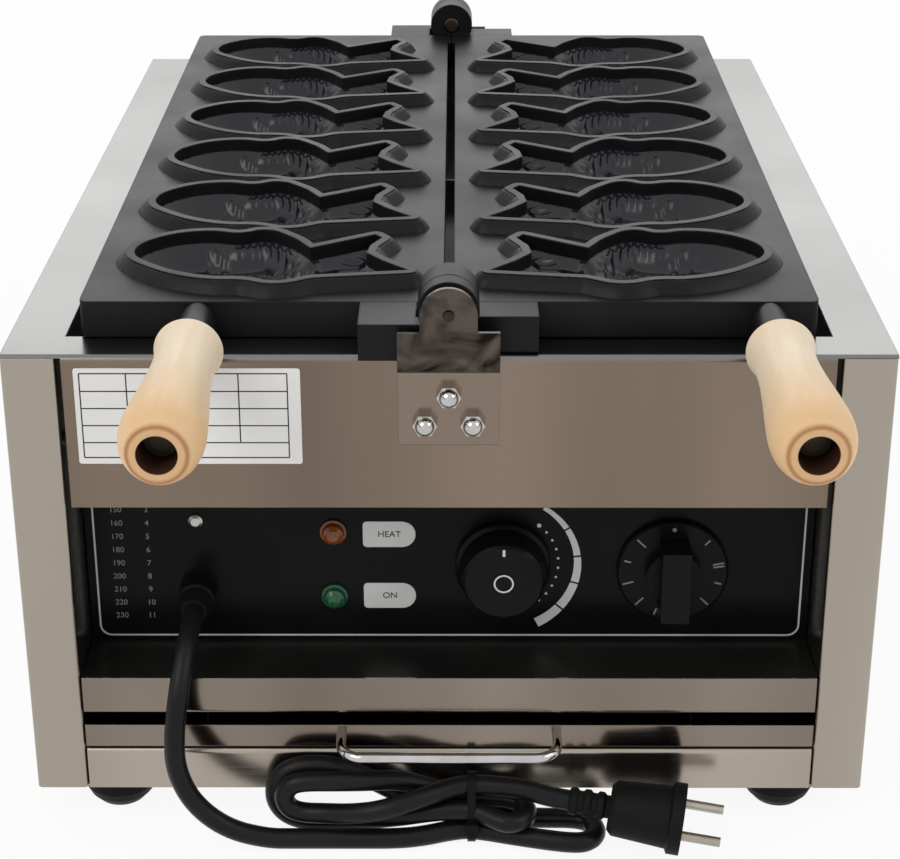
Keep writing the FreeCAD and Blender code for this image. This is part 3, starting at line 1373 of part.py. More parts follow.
def plug():
    low = "plug_neck_radius - plug_rib_depth"
    corners = [("0", "0")]
    for rib in range(PLUG_RIBS):
        start = f"plug_neck_length * {rib} / {PLUG_RIBS}"
        end = f"{start} + plug_rib_length"
        corners += [(low, start), ("plug_neck_radius", f"{start} + plug_rib_depth"),
                    ("plug_neck_radius", end), (low, f"{end} + plug_rib_depth")]
    face = "plug_neck_length + plug_body_length"
    corners += [
        (low, "plug_neck_length"),
        ("plug_shoulder_radius", "plug_neck_length"),
        ("plug_shoulder_radius + plug_shoulder_round", "plug_neck_length + plug_shoulder_round"),
        ("plug_body_radius", f"{face} - plug_flange_thick - plug_flange_step"),
        ("plug_flange_radius", f"{face} - plug_flange_thick"),
        ("plug_flange_radius", face),
        ("0", face),
    ]
    body = turned("mains_plug", "XY_Plane", corners)
    neck = in_front(*PLUG_NECK)
    turn = Rotation(Vector(0, 1, 0), PLUG_AXIS)
    body.Placement = FreeCAD.Placement(neck, turn)
    node("mains_plug", body)
    roll = Rotation(PLUG_AXIS, PLUG_ROLL)
    sideways = roll.multVec(Vector(0, 0, 1).cross(PLUG_AXIS).normalize()) * value("plug_pin_spacing / 2")
    middle = neck + PLUG_AXIS * value(face)
    radius, length = value("plug_pin_radius"), value("plug_pin_length")
    pins = []
    for side in (-1, 1):
        pin = Part.makeCylinder(radius, length, middle + sideways * side, PLUG_AXIS)
        pins.append(shaped("plug_pin", pin))
    node("plug_pins", group("plug_pins", pins))


def write_parts():
    doc.recompute()
    failed = [item.Name for item in doc.Objects if {"Invalid", "Error"} & set(item.State)]
    if failed:
        raise RuntimeError(f"not computed: {failed}")
    for item in nodes:
        if item.Shape.isNull() or not item.Shape.isValid() or not item.Shape.Solids:
            raise RuntimeError(f"bad shape: {item.Label}")
    os.makedirs("parts", exist_ok=True)
    for item in nodes:
        item.Shape.exportStep(f"parts/{item.Label}.step")
    print(len(nodes), "sub-parts,", sum(len(item.Shape.Solids) for item in nodes), "solids")


def main():
    side_panel("left_side_panel", -1)
    side_panel("right_side_panel", 1)
    top_deck()
    back_panel()
    floor_and_rails()
    feet()
    heater()
    mould_plate("left_mould_plate", False)
    mould_plate("right_mould_plate", True)
    plate_lugs("left_plate_lugs", True, value("left_handle_inset"), False)
    plate_lugs("right_plate_lugs", False, value("right_handle_inset"), True)
    handle("left", -1, "left_handle_inset")
    handle("right", 1, "right_handle_inset")
    hinge_bracket("front_hinge_bracket", "front_y", "-1", "tab_front_y")
    hinge_bracket("back_hinge_bracket", "back_y", "1", "tab_back_y")
    hinge_pin("front_hinge_pin", "-1", "tab_front_y", "plate_front")
    hinge_pin("back_hinge_pin", "1", "tab_back_y", "plate_back")
    hinge_fasteners()
    crumb_tray()
    control_panel()
    switch_bodies()
    knobs()
    electrics()
    gland()
    hank(cord())
    cable_tie()
    plug()
    write_parts()


main()
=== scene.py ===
import json
import math

import bmesh
import bpy
import numpy as np
from mathutils import Matrix, Vector


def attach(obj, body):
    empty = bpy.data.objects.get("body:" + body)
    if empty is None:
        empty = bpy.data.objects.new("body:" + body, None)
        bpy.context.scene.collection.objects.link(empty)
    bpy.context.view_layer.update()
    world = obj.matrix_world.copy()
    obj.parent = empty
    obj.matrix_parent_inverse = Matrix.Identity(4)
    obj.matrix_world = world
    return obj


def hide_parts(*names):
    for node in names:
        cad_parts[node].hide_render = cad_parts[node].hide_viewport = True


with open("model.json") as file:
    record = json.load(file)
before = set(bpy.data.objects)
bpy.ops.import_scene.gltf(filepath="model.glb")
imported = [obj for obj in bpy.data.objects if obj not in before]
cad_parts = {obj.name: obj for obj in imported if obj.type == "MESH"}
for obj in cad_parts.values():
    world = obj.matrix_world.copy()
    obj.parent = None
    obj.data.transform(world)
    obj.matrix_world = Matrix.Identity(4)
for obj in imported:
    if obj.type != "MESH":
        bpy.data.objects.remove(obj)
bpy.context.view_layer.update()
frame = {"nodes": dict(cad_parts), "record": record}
scene = bpy.context.scene
scene.view_settings.view_transform = "Standard"

MM = 0.001

# Places of the machine, in millimetres
FRONT_Y = -220.35
PANEL_Y = -182.35
THERMOSTAT = (26.5, 123.95)
TIMER = (110.3, 120.95)
LAMP_HEIGHTS = (141.65, 105.95)
KNOB_GAP = 0.8
THERMOSTAT_KNOB_HEIGHT = 20
THERMOSTAT_CAP_RISE = 0.6
TIMER_DISC_HEIGHT = 3
BRACKET_BEND_Z = 247
BRACKET_BEND_BLUR = 0.5
GRIP_END_Y = -346.35
GRIP_Z = 259.25
GRIP_X = {"left": -116, "right": 148}
# Runs of colour on a grip: lengths from its free end, then radii round its axis
GRIP_TAN_RUN = (6, 80)
GRIP_END_RUN = (0.4, 3.2)
GRIP_FACE_RADII = (11.6, 12.8)
GRIP_RING_INNER_RADII = (10.9, 12)
GRIP_RING_OUTER_RADII = (12.6, 14)
GRIP_BORE_RADII = (8.42, 8.7)

# Camera, solved from the machine's edges
IMAGE_SIZE = (900, 859)
FOCAL_PIXELS = 2119.93
PRINCIPAL_ROW = 400
CAMERA_PLACE = (3.595, -1111.315, 616.767)
CAMERA_PITCH = 0.410872
CAMERA_YAW = -0.0034125
CAMERA_ROLL = -0.00095227
SENSOR_WIDTH = 36

# Cord: across, out from the front plane and height, as in the part's source
CORD_DIAMETER = 10
CORD_SMOOTHNESS = 6
CORD_ROUTE = [
    (-125, 18, 107.65), (-125, 8, 107.65), (-126, -9.1, 102.1), (-128.5, -23, 87.7), (-131, -28.6, 67.5),
    (-131.5, -28.8, 47.5), (-124, -28, 27.5), (-108.5, -26.6, 12), (-89, -25, 5.2),
]
LOOP_GAP = 0.9
FLOOR_GAP = 0.2
HANK_TURNS = 2
HANK_START = (-75, -25)
HANK_TIE_X = 11
HANK_TIE_LIFT = 1.6
HANK_TIE_SPREAD = 18
HANK_BACK = -7.4
HANK_RIGHT_X = 62
HANK_RIGHT_STEP = 34
HANK_LEFT_X = -72
HANK_LOBE_TOP = [(-5.8, 35.5), (-17.2, 33.2)]
HANK_LOBE_LOW = [(-9.6, 5.2), (-16.8, 14.6)]
HANK_RISE = [75, 45]
HANK_BULGE = 14
# Where the front strands start to gather to the tie, and the runs over which they gather and climb
HANK_FIRST_GATHER_X = -25
HANK_GATHER_X = -60
HANK_GATHER_RUN = 45
HANK_CLIMB_RUN = [55, 57]
# Places along the strands that get a point of the cord
HANK_FIRST_STRAND = (-60, -45, -25, -12, 0)
HANK_FRONT_STRAND = (-60, -48, -35, -22, -10, 0)
HANK_BACK_STRAND = (0, -12, -25, -40, -55)
HANK_CROSSING = [(24, -14.5, 28.8), (38, -16.4, 28.1)]
PLUG_NECK = (58.5, -19, 23.6)
PLUG_AXIS = Vector((1, -0.15, -0.1)).normalized()

# One fish cavity: along from nose to tail, across from belly to back
FISH_BODY = [
    (84.6, 5), (74, 22), (61.5, 32), (48, 27.5), (35, 30.3), (15, 25), (0, 2), (16, -22), (40, -34),
    (56, -35.3), (71, -40.3), (87.3, -32.8),
]
FISH_TAIL = [(132.6, -26.4), (120, -13), (112.2, -2), (113.5, 8.5), (119, 20), (115.5, 25)]
FISH_NOSE_X = -152.1
FISH_FIRST_ROW = -144.65
FISH_PITCH = 78.8
FISH_ROWS = 6


def place_camera():
    data = bpy.data.cameras.new("camera")
    data.sensor_fit = "HORIZONTAL"
    data.sensor_width = SENSOR_WIDTH
    data.lens = SENSOR_WIDTH * FOCAL_PIXELS / IMAGE_SIZE[0]
    data.shift_y = (PRINCIPAL_ROW - IMAGE_SIZE[1] / 2) / IMAGE_SIZE[0]
    data.clip_end = 50
    item = bpy.data.objects.new("camera", data)
    scene.collection.objects.link(item)
    ahead = Vector((math.sin(CAMERA_YAW), math.cos(CAMERA_YAW), 0))
    right = Vector((math.cos(CAMERA_YAW), -math.sin(CAMERA_YAW), 0))
    forward = ahead * math.cos(CAMERA_PITCH) - Vector((0, 0, math.sin(CAMERA_PITCH)))
    up = right.cross(forward)
    tilted_right = right * math.cos(CAMERA_ROLL) + up * math.sin(CAMERA_ROLL)
    tilted_up = up * math.cos(CAMERA_ROLL) - right * math.sin(CAMERA_ROLL)
    turn = Matrix((tilted_right, tilted_up, -forward)).transposed().to_4x4()
    item.matrix_world = Matrix.Translation(Vector(CAMERA_PLACE) * MM) @ turn
    scene.camera = item


class Surface:
    """A node material around one Principled shader."""

    def __init__(self, name, metallic=0.0, coat=0.0, specular=0.5):
        self.material = bpy.data.materials.new(name)
        self.material.use_nodes = True
        self.tree = self.material.node_tree
        self.shader = self.tree.nodes["Principled BSDF"]
        self.shader.inputs["Metallic"].default_value = metallic
        self.shader.inputs["Coat Weight"].default_value = coat
        self.shader.inputs["Specular IOR Level"].default_value = specular
        self.place = self.add("TexCoord").outputs["Object"]

    def add(self, kind, **inputs):
        item = self.tree.nodes.new("ShaderNode" + kind)
        for key, content in inputs.items():
            item.inputs[key.replace("_", " ")].default_value = content
        return item

    def link(self, source, target):
        self.tree.links.new(source, target)

    def noise(self, scale, detail=4.0, stretch=(1, 1, 1), distortion=0.0):
        mapping = self.add("Mapping", Scale=stretch)
        self.link(self.place, mapping.inputs["Vector"])
        item = self.add("TexNoise", Scale=scale, Detail=detail, Distortion=distortion)
        self.link(mapping.outputs["Vector"], item.inputs["Vector"])
        return item.outputs["Fac"]

    def spread(self, source, low, high, start=0.3, end=0.7):
        item = self.add("MapRange", From_Min=start, From_Max=end, To_Min=low, To_Max=high)
        self.link(source, item.inputs["Value"])
        return item.outputs["Result"]

    def mix(self, factor, first, second):
        """A colour between two colours, each given as numbers or as a socket."""
        item = self.tree.nodes.new("ShaderNodeMix")
        item.data_type = "RGBA"
        self.link(factor, item.inputs[0])
        for socket, colour in zip((item.inputs[6], item.inputs[7]), (first, second)):
            if isinstance(colour, tuple):
                socket.default_value = (*colour, 1)
            else:
                self.link(colour, socket)
        return item.outputs[2]

    def vector(self, operation, source, constant=None):
        item = self.add("VectorMath")
        item.operation = operation
        self.link(source, item.inputs[0])
        if constant:
            item.inputs[1].default_value = constant
        return item

    def both(self, operation, first, second):
        item = self.add("Math")
        item.operation = operation
        self.link(first, item.inputs[0])
        self.link(second, item.inputs[1])
        return item.outputs["Value"]

    def colour(self, source):
        self.link(source, self.shader.inputs["Base Color"])

    def roughness(self, source):
        self.link(source, self.shader.inputs["Roughness"])

    def bump(self, height, strength, distance, edge=0.0):
        """Bump from a height, over edges that look rounded by the given radius."""
        item = self.add("Bump", Strength=strength, Distance=distance)
        self.link(height, item.inputs["Height"])
        if edge:
            bevel = self.add("Bevel", Radius=edge)
            self.link(bevel.outputs["Normal"], item.inputs["Normal"])
        self.link(item.outputs["Normal"], self.shader.inputs["Normal"])


# Stretch of the textures along the three axes
BRUSH_LINES = (12, 12, 2600)
TONE_AND_REFLECTION_BANDS = (9, 9, 0.8)
DARK_REFLECTION_MOTTLE = (1, 1, 1.6)
WOOD_FIBRES = (240, 11, 240)
WOOD_RINGS = (60, 5, 60)
LENS_RIBS = (900, 900, 150)
# Depth of fine grain, and heights of the normal between which a face takes the painted light of an upper face
GRAIN_DEPTH = 0.0003
LIT_UPPER_FACE = (0.15, 0.75)
# Colours of the wooden grips
WOOD_PALE = (0.92, 0.8, 0.64)
WOOD_BAND = (0.87, 0.71, 0.51)
WOOD_TAN = (0.82, 0.53, 0.26)
WOOD_FIBRE = (0.7, 0.49, 0.28)
WOOD_END = (0.7, 0.44, 0.23)
WOOD_EDGE = (0.45, 0.22, 0.085)
# Near black of the bore: scorch with painted shade in the recess
WOOD_BORE = (0.06, 0.024, 0.012)


def brushed(name, dark, light, top=None, rough=(0.2, 0.27), edge=0.0006):
    """Satin sheet metal with very fine brush lines, broad soft bands of random tone with painted soft
    reflections and, where given, a colour of its own on upper faces and bends, painted for how the light
    falls on them.
    """
    item = Surface(name, metallic=1.0)
    lines = item.noise(scale=1.0, detail=4.0, stretch=BRUSH_LINES)
    # Broad soft bands: tone that differs at random, with painted soft reflections
    tone_and_reflection_bands = item.noise(scale=1.0, detail=2.0, stretch=TONE_AND_REFLECTION_BANDS)
    tone = item.mix(item.spread(tone_and_reflection_bands, 0, 1), dark, light)
    tone = item.mix(item.spread(lines, low=0, high=0.16), tone, light)
    # Upper faces and bends take the top colour: painted light and highlight, for how the light falls on them
    if top:
        separate = item.add("SeparateXYZ")
        item.link(item.add("NewGeometry").outputs["Normal"], separate.inputs["Vector"])
        tone = item.mix(item.spread(separate.outputs["Z"], 0, 1, *LIT_UPPER_FACE), tone, top)
    item.colour(tone)
    item.roughness(item.spread(lines, *rough))
    item.bump(lines, strength=0.02, distance=GRAIN_DEPTH, edge=edge)
    return item.material


def bent_steel(name, dark, light, plain, rough):
    """Bent steel sheet, plain below its bend and dark and mottled above it, a painted dark reflection."""
    item = Surface(name, metallic=1.0)
    dark_mottle = item.noise(scale=42.0, detail=3.0, stretch=DARK_REFLECTION_MOTTLE, distortion=0.8)
    # Above the bend the colour is a painted dark reflection, mottled
    tone = item.mix(item.spread(dark_mottle, 0, 1, start=0.38, end=0.62), dark, light)
    separate = item.add("SeparateXYZ")
    item.link(item.place, separate.inputs["Vector"])
    bend_start = (BRACKET_BEND_Z - BRACKET_BEND_BLUR) * MM
    bend_end = (BRACKET_BEND_Z + BRACKET_BEND_BLUR) * MM
    above = item.spread(separate.outputs["Z"], 0, 1, bend_start, bend_end)
    item.colour(item.mix(above, plain, tone))
    item.roughness(item.spread(dark_mottle, *rough))
    item.bump(dark_mottle, strength=0.04, distance=GRAIN_DEPTH, edge=0.0008)
    return item.material


def cast(name, dark, light, rough, grain_strength, specular):
    """Dark non-stick coat over a cast surface."""
    item = Surface(name, specular=specular)
    grain = item.noise(scale=900.0, detail=5.0)
    wear = item.noise(scale=18.0, detail=5.0)
    item.colour(item.mix(item.spread(wear, 0, 1), dark, light))
    item.roughness(item.spread(wear, *rough))
    item.bump(grain, grain_strength, distance=GRAIN_DEPTH, edge=0.0012)
    return item.material


def turned_wood(name, axis_x):
    """Waxed birch with grain along the handle, browned at the edge of its end, and near black in its bore
    with scorch and painted shade.
    """
    item = Surface(name, specular=0.35, coat=0.05)
    fibres = item.noise(scale=1.0, detail=8.0, stretch=WOOD_FIBRES, distortion=0.5)
    rings = item.noise(scale=1.0, detail=2.0, stretch=WOOD_RINGS, distortion=1.0)
    separate = item.add("SeparateXYZ")
    item.link(item.place, separate.inputs["Vector"])

    def from_end(run, strength):
        start, stop = [(GRIP_END_Y + length) * MM for length in run]
        return item.spread(separate.outputs["Y"], strength, 0, start, stop)

    base = item.mix(item.spread(rings, 0, 1), WOOD_PALE, WOOD_BAND)
    base = item.mix(from_end(GRIP_TAN_RUN, strength=0.9), base, WOOD_TAN)
    base = item.mix(item.spread(fibres, low=0, high=0.22), base, WOOD_FIBRE)
    reach = item.vector("SUBTRACT", item.place, (axis_x * MM, 0, GRIP_Z * MM)).outputs["Vector"]
    flat = item.vector("MULTIPLY", reach, (1, 0, 1)).outputs["Vector"]
    radius = item.vector("LENGTH", flat).outputs["Value"]

    def round_axis(low, high, radii):
        start, stop = [limit * MM for limit in radii]
        return item.spread(radius, low, high, start, stop)

    end = from_end(GRIP_END_RUN, strength=1)
    face = item.both("MULTIPLY", end, round_axis(1, 0, GRIP_FACE_RADII))
    base = item.mix(face, base, WOOD_END)
    ring = item.both("MINIMUM", round_axis(0, 1, GRIP_RING_INNER_RADII),
                     round_axis(1, 0, GRIP_RING_OUTER_RADII))
    base = item.mix(item.both("MULTIPLY", end, ring), base, WOOD_EDGE)
    # Inside the bore's radius, all along the grip: painted shade over the scorch
    item.colour(item.mix(round_axis(1, 0, GRIP_BORE_RADII), base, WOOD_BORE))
    item.roughness(item.spread(fibres, low=0.42, high=0.58))
    item.bump(fibres, strength=0.08, distance=0.0004)
    return item.material


def moulded(name, dark, light, rough, grain_scale=500.0, strength=0.1, specular=0.5, edge=0.0005):
    """Plastic, rubber or paint with a fine moulded grain."""
    item = Surface(name, specular=specular)
    grain = item.noise(grain_scale, detail=4.0)
    cloud = item.noise(scale=25.0, detail=3.0)
    item.colour(item.mix(item.spread(cloud, 0, 1), dark, light))
    item.roughness(item.spread(cloud, *rough))
    item.bump(grain, strength, GRAIN_DEPTH, edge)
    return item.material


def plated(name, dark, light, rough):
    """Plain or plated metal with faint clouds."""
    item = Surface(name, metallic=1.0)
    cloud = item.noise(scale=60.0, detail=4.0)
    item.colour(item.mix(item.spread(cloud, 0, 1), dark, light))
    item.roughness(item.spread(cloud, *rough))
    item.bump(cloud, strength=0.03, distance=GRAIN_DEPTH, edge=0.0003)
    return item.material


def lens(name, dark, light):
    """Coloured lamp glass with fine ribs."""
    item = Surface(name, coat=0.25, specular=0.3)
    ribs = item.noise(scale=1.0, detail=2.0, stretch=LENS_RIBS)
    item.colour(item.mix(item.spread(ribs, 0, 1), dark, light))
    item.roughness(item.spread(ribs, low=0.12, high=0.25))
    item.bump(ribs, strength=0.25, distance=0.0006)
    return item.material


# Each surface's builder and what it is built from
SURFACES = {
    # The same stainless steel in three copies: this one darker and warmer, painted shade and reflection on
    # the fascia and the other sheet
    "steel_front": (brushed, (0.165, 0.124, 0.095), (0.255, 0.196, 0.154), (0.196, 0.194, 0.188)),
    # Lighter copy of the same steel: painted light on the side panels and the lower rail
    "steel_side": (brushed, (0.33, 0.285, 0.24), (0.45, 0.405, 0.345)),
    # Darker copy of the same steel: painted shade on the upper rail and tray front, with a painted highlight
    # on their upper edges
    "steel_rail": (brushed, (0.18, 0.145, 0.117), (0.27, 0.226, 0.19), (0.4, 0.39, 0.375), (0.1, 0.17)),
    # Hinge brackets: painted dark reflection above the bend
    "steel_bracket": (bent_steel, (0.012, 0.01, 0.008), (0.1, 0.083, 0.07), (0.23, 0.18, 0.142),
                      (0.16, 0.26)),
    # Inner sheets: darkened, painted shade inside the housing and tray slot
    "steel_inner": (plated, (0.2, 0.2, 0.2), (0.28, 0.28, 0.28), (0.35, 0.5)),
    # Tray runners: near black, painted shade of the tray slot
    "runner_shade_steel": (plated, (0.03, 0.03, 0.03), (0.05, 0.05, 0.05), (0.5, 0.6)),
    "panel": (moulded, (0.004, 0.004, 0.004), (0.006, 0.006, 0.006), (0.2, 0.28), 700.0, 0.03, 0.08),
    # Ledge: the panel's black sheet made lighter, a painted sheen
    "ledge": (moulded, (0.007, 0.007, 0.0065), (0.011, 0.011, 0.01), (0.3, 0.4), 700.0, 0.03, 0.3),
    "cast": (cast, (0.005, 0.005, 0.0058), (0.009, 0.009, 0.0105), (0.32, 0.44), 0.1, 0.15),
    # Mould floors: the plates' coat made bluer, a painted bluish sheen
    "cast_floor": (cast, (0.005, 0.0048, 0.0085), (0.009, 0.0086, 0.0145), (0.12, 0.22), 0.16, 0.4),
    "wood_left": (turned_wood, GRIP_X["left"]),
    "wood_right": (turned_wood, GRIP_X["right"]),
    "chrome": (plated, (0.44, 0.43, 0.42), (0.56, 0.55, 0.54), (0.04, 0.1)),
    "zinc": (plated, (0.42, 0.41, 0.38), (0.55, 0.54, 0.51), (0.25, 0.4)),
    # Nuts, studs and hinge pins: near black, painted shade of the bores and knuckles they sit in
    "bore_shade_steel": (plated, (0.03, 0.022, 0.018), (0.06, 0.045, 0.035), (0.35, 0.5)),
    "element": (plated, (0.1, 0.085, 0.075), (0.17, 0.15, 0.13), (0.45, 0.6)),
    "rubber": (moulded, (0.004, 0.004, 0.004), (0.007, 0.007, 0.007), (0.5, 0.65), 800.0, 0.2, 0.12),
    "plastic": (moulded, (0.004, 0.004, 0.004), (0.007, 0.007, 0.007), (0.24, 0.34), 900.0, 0.05, 0.09),
    "switch": (moulded, (0.1, 0.095, 0.085), (0.14, 0.13, 0.12), (0.4, 0.55)),
    "amber": (lens, (0.13, 0.034, 0.006), (0.24, 0.07, 0.012)),
    "green": (lens, (0.008, 0.07, 0.03), (0.015, 0.12, 0.05)),
    "cord": (moulded, (0.005, 0.005, 0.0055), (0.008, 0.008, 0.009), (0.3, 0.4), 600.0, 0.1, 0.18),
    "brass": (plated, (0.36, 0.33, 0.275), (0.47, 0.43, 0.37), (0.18, 0.3)),
    "print": (moulded, (0.58, 0.58, 0.57), (0.66, 0.66, 0.65), (0.45, 0.55), 900.0, 0.03, 0.5, 0.0),
    "print_grey": (moulded, (0.2, 0.2, 0.195), (0.26, 0.26, 0.25), (0.45, 0.55), 900.0, 0.03, 0.5, 0.0),
    "label": (moulded, (0.76, 0.76, 0.75), (0.82, 0.82, 0.81), (0.3, 0.4), 900.0, 0.02, 0.5, 0.0),
    "rule": (moulded, (0.012, 0.012, 0.013), (0.02, 0.02, 0.022), (0.45, 0.55), 900.0, 0.02, 0.2, 0.0),
}
MATERIALS = {name: build(name, *values) for name, (build, *values) in SURFACES.items()}
BY_SLOT = {
    "steel_sheet": "steel_front", "inner_sheet": "steel_inner", "panel_black": "panel", "cast_plate": "cast",
    "birch": "wood_left", "bright_steel": "chrome", "zinc_steel": "zinc", "element_steel": "element",
    "foot_rubber": "rubber", "knob_plastic": "plastic", "switch_plastic": "switch", "amber_lens": "amber",
    "green_lens": "green", "cord_rubber": "cord", "pin_brass": "brass",
}
OWN_MATERIAL = {
    "left_side_panel": "steel_side", "right_side_panel": "steel_side", "right_handle_grip": "wood_right",
    "cord_gland": "rubber", "mains_plug": "rubber", "upper_rail": "steel_rail", "lower_rail": "steel_side",
    "crumb_tray": "steel_rail", "front_hinge_bracket": "steel_bracket", "back_hinge_bracket": "steel_bracket",
    "left_grip_nut": "bore_shade_steel", "right_grip_nut": "bore_shade_steel", "left_handle_stud": "bore_shade_steel",
    "right_handle_stud": "bore_shade_steel", "front_hinge_pin": "bore_shade_steel", "back_hinge_pin": "bore_shade_steel",
    "tray_runners": "runner_shade_steel", "control_ledge": "ledge", "earth_screw": "zinc",
}


def dress_nodes():
    slots = {row["node"]: row["material_slot"] for row in frame["record"]["subparts"]}
    for name, item in frame["nodes"].items():
        material = MATERIALS[OWN_MATERIAL.get(name, BY_SLOT[slots[name]])]
        item.data.materials.clear()
        item.data.materials.append(material)


def new_piece(name, mesh, body, material):
    item = bpy.data.objects.new(name, mesh)
    scene.collection.objects.link(item)
    item.data.materials.append(MATERIALS[material])
    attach(item, body)
    return item


def in_front(x, out, z):
    return Vector((x, FRONT_Y + out, z))


def ease(share):
    share = min(max(share, 0.0), 1.0)
    return share * share * (3 - 2 * share)


def between(start, end, share):
    return start + (end - start) * ease(share)


def hank_points():
    """Control points of the hank, from its first strand to the plug's neck."""
    pitch = CORD_DIAMETER + LOOP_GAP
    floor = CORD_DIAMETER / 2 + FLOOR_GAP
    front = HANK_BACK - pitch
    points = []

    def add(x, out, z):
        lift = HANK_TIE_LIFT * math.exp(-((x - HANK_TIE_X) / HANK_TIE_SPREAD) ** 2)
        points.append(in_front(x, out, z + lift))

    def strand_to_tie(turn, places):
        for x in places:
            if turn == 0:
                share = (x - HANK_FIRST_GATHER_X) / (HANK_TIE_X - HANK_FIRST_GATHER_X)
                out, z = between(HANK_START[1], front, share), floor
            else:
                out, z = HANK_LOBE_LOW[turn - 1]
                if turn < HANK_TURNS:
                    out = between(out, front, (x - HANK_GATHER_X) / HANK_GATHER_RUN)
                    z = between(z, floor + turn * pitch, (x - HANK_GATHER_X) / HANK_CLIMB_RUN[0])
                else:
                    share = (x - HANK_LEFT_X) / (HANK_TIE_X - HANK_LEFT_X)
                    out = between(out, (HANK_BACK + front) / 2, share)
                    out -= HANK_BULGE * math.sin(math.pi * share) ** 2
                    z = between(z, floor + turn * pitch, (x - HANK_LEFT_X) / HANK_CLIMB_RUN[1])
            add(x, out, z)

    def right_bend(turn):
        middle = HANK_RIGHT_X - HANK_RIGHT_STEP * turn
        z = floor + turn * pitch
        steps = 4 - turn
        add((HANK_TIE_X + middle) / 2, front - pitch / 2, z)
        for eighth in range(5):
            angle = math.radians(-90 + 45 * eighth)
            add(middle + pitch * math.cos(angle), HANK_BACK - pitch + pitch * math.sin(angle), z)
        for step in range(1, steps):
            add(middle + (HANK_TIE_X - middle) * step / steps, HANK_BACK, z)

    def rising_strand(turn, places):
        top_out, top_z = HANK_LOBE_TOP[turn]
        for x in places:
            share = (HANK_TIE_X - x) / HANK_RISE[turn]
            sideways = share if turn == 0 else -x / HANK_RISE[turn]
            add(x, between(HANK_BACK, top_out, sideways), between(floor + turn * pitch, top_z, share))

    def left_bend(turn):
        top_out, top_z = HANK_LOBE_TOP[turn]
        low_out, low_z = HANK_LOBE_LOW[turn]
        radius = (top_z - low_z) / 2
        for eighth in range(5):
            angle = math.radians(90 + 45 * eighth)
            add(HANK_LEFT_X + radius * math.cos(angle), top_out + (low_out - top_out) * eighth / 4,
                (top_z + low_z) / 2 + radius * math.sin(angle))

    strand_to_tie(0, (HANK_START[0], *HANK_FIRST_STRAND, HANK_TIE_X))
    for turn in range(HANK_TURNS):
        right_bend(turn)
        rising_strand(turn, (HANK_TIE_X, *HANK_BACK_STRAND))
        left_bend(turn)
        strand_to_tie(turn + 1, (*HANK_FRONT_STRAND, HANK_TIE_X))
    points += [in_front(*spot) for spot in HANK_CROSSING]
    neck = in_front(*PLUG_NECK)
    points += [neck - PLUG_AXIS * CORD_DIAMETER, neck]
    return points


def lay_cord():
    route = [in_front(*spot) for spot in CORD_ROUTE] + hank_points()
    curve = bpy.data.curves.new("mains_cord", "CURVE")
    curve.dimensions = "3D"
    curve.bevel_depth = CORD_DIAMETER / 2 * MM
    curve.bevel_resolution = CORD_SMOOTHNESS
    curve.resolution_u = CORD_SMOOTHNESS
    spline = curve.splines.new("NURBS")
    spline.points.add(len(route) - 1)
    for point, spot in zip(spline.points, route):
        point.co = (*(spot * MM), 1)
    spline.order_u = 3
    spline.use_endpoint_u = True
    item = new_piece("mains_cord", curve, "housing", "cord")
    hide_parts("power_cord", "cord_hank")


def smooth_run(points, steps):
    """Points on a smooth curve through the given ones."""
    points = [np.array(point, float) for point in points]
    padded = [2 * points[0] - points[1], *points, 2 * points[-1] - points[-2]]
    run = []
    for before, start, end, after in zip(padded, padded[1:], padded[2:], padded[3:]):
        for step in range(steps):
            t = step / steps
            square = (2 * before - 5 * start + 4 * end - after) * t ** 2
            cube = (3 * start - before - 3 * end + after) * t ** 3
            run.append(0.5 * (2 * start + (end - before) * t + square + cube))
    return run + [points[-1]]


def smooth_step(x, start, end):
    t = np.clip((x - start) / (end - start), 0, 1)
    return t * t * (3 - 2 * t)


# Grid of one mould, and how far its floor runs into the cavity's wall
FISH_GRID = 1.0
FISH_GRID_ALONG = (-14, 148)
FISH_GRID_ACROSS = (-56, 48)
FISH_WALL_OVERLAP = 1.6
FISH_BURIED_Z = 252.5
TINY = 1e-9
# Depths inside the edge over which each form of a floor fades in
HEAD_FADE = (2, 9)
RIDGE_FADE = (3, 8)
SCALE_FADE = (1.5, 6)
BACK_FADE = (1, 4)
FIN_FADE = (0.5, 2)
RIB_FADE = (0.5, 3)
TAIL_RAYS_FADE = (1, 3)
# Bowls of the body and the tail: lowest height, rise at the wall and the depths inside the edge it runs over
BODY_FLOOR_Z = 254.8
BODY_RISE = 13.5
BODY_RUN = (-2, 13)
TAIL_FLOOR_Z = 262.3
TAIL_RISE = 5.5
TAIL_RUN = (-2, 7)
NECK_RUN = (81, 87)
# Head: the gill's bow, the step and the ridge along it, the eye and the mouth
GILL_X = 40
GILL_MIDDLE = -4
GILL_HALF = 26
GILL_SWEEP = 9
GILL_BLUR = 1.2
HEAD_RISE = 1.6
RIDGE_OFFSET = 3
RIDGE_HALF = 1.1
EYE = (20, 3)
EYE_RING_RISE = 2.3
EYE_RING_RADIUS = 4.6
EYE_RING_HALF = 1.2
PUPIL_RISE = 1.6
PUPIL_RADIUS = 1.8
MOUTH_START = 0.5
MOUTH_SLOPE = 0.18
MOUTH_DEPTH = 0.9
MOUTH_HALF = 0.8
MOUTH_END = (9, 12)
# Scales in staggered rows, with the smooth band under the back beside them
SCALES_X = 46
SCALES_START = (4, 7)
SCALES_END = (79, 83)
SCALE_PITCH_ALONG = 4.6
SCALE_PITCH_ACROSS = 6.2
SCALE_OFFSET = 1.4
SCALE_HALF_ALONG = 4.4
SCALE_HALF_ACROSS = 3.4
SCALE_RISE = 2.9
BACK_EDGE = (12.4, 13.6)
BACK_START = (44, 47)
BACK_RISE = 1.8
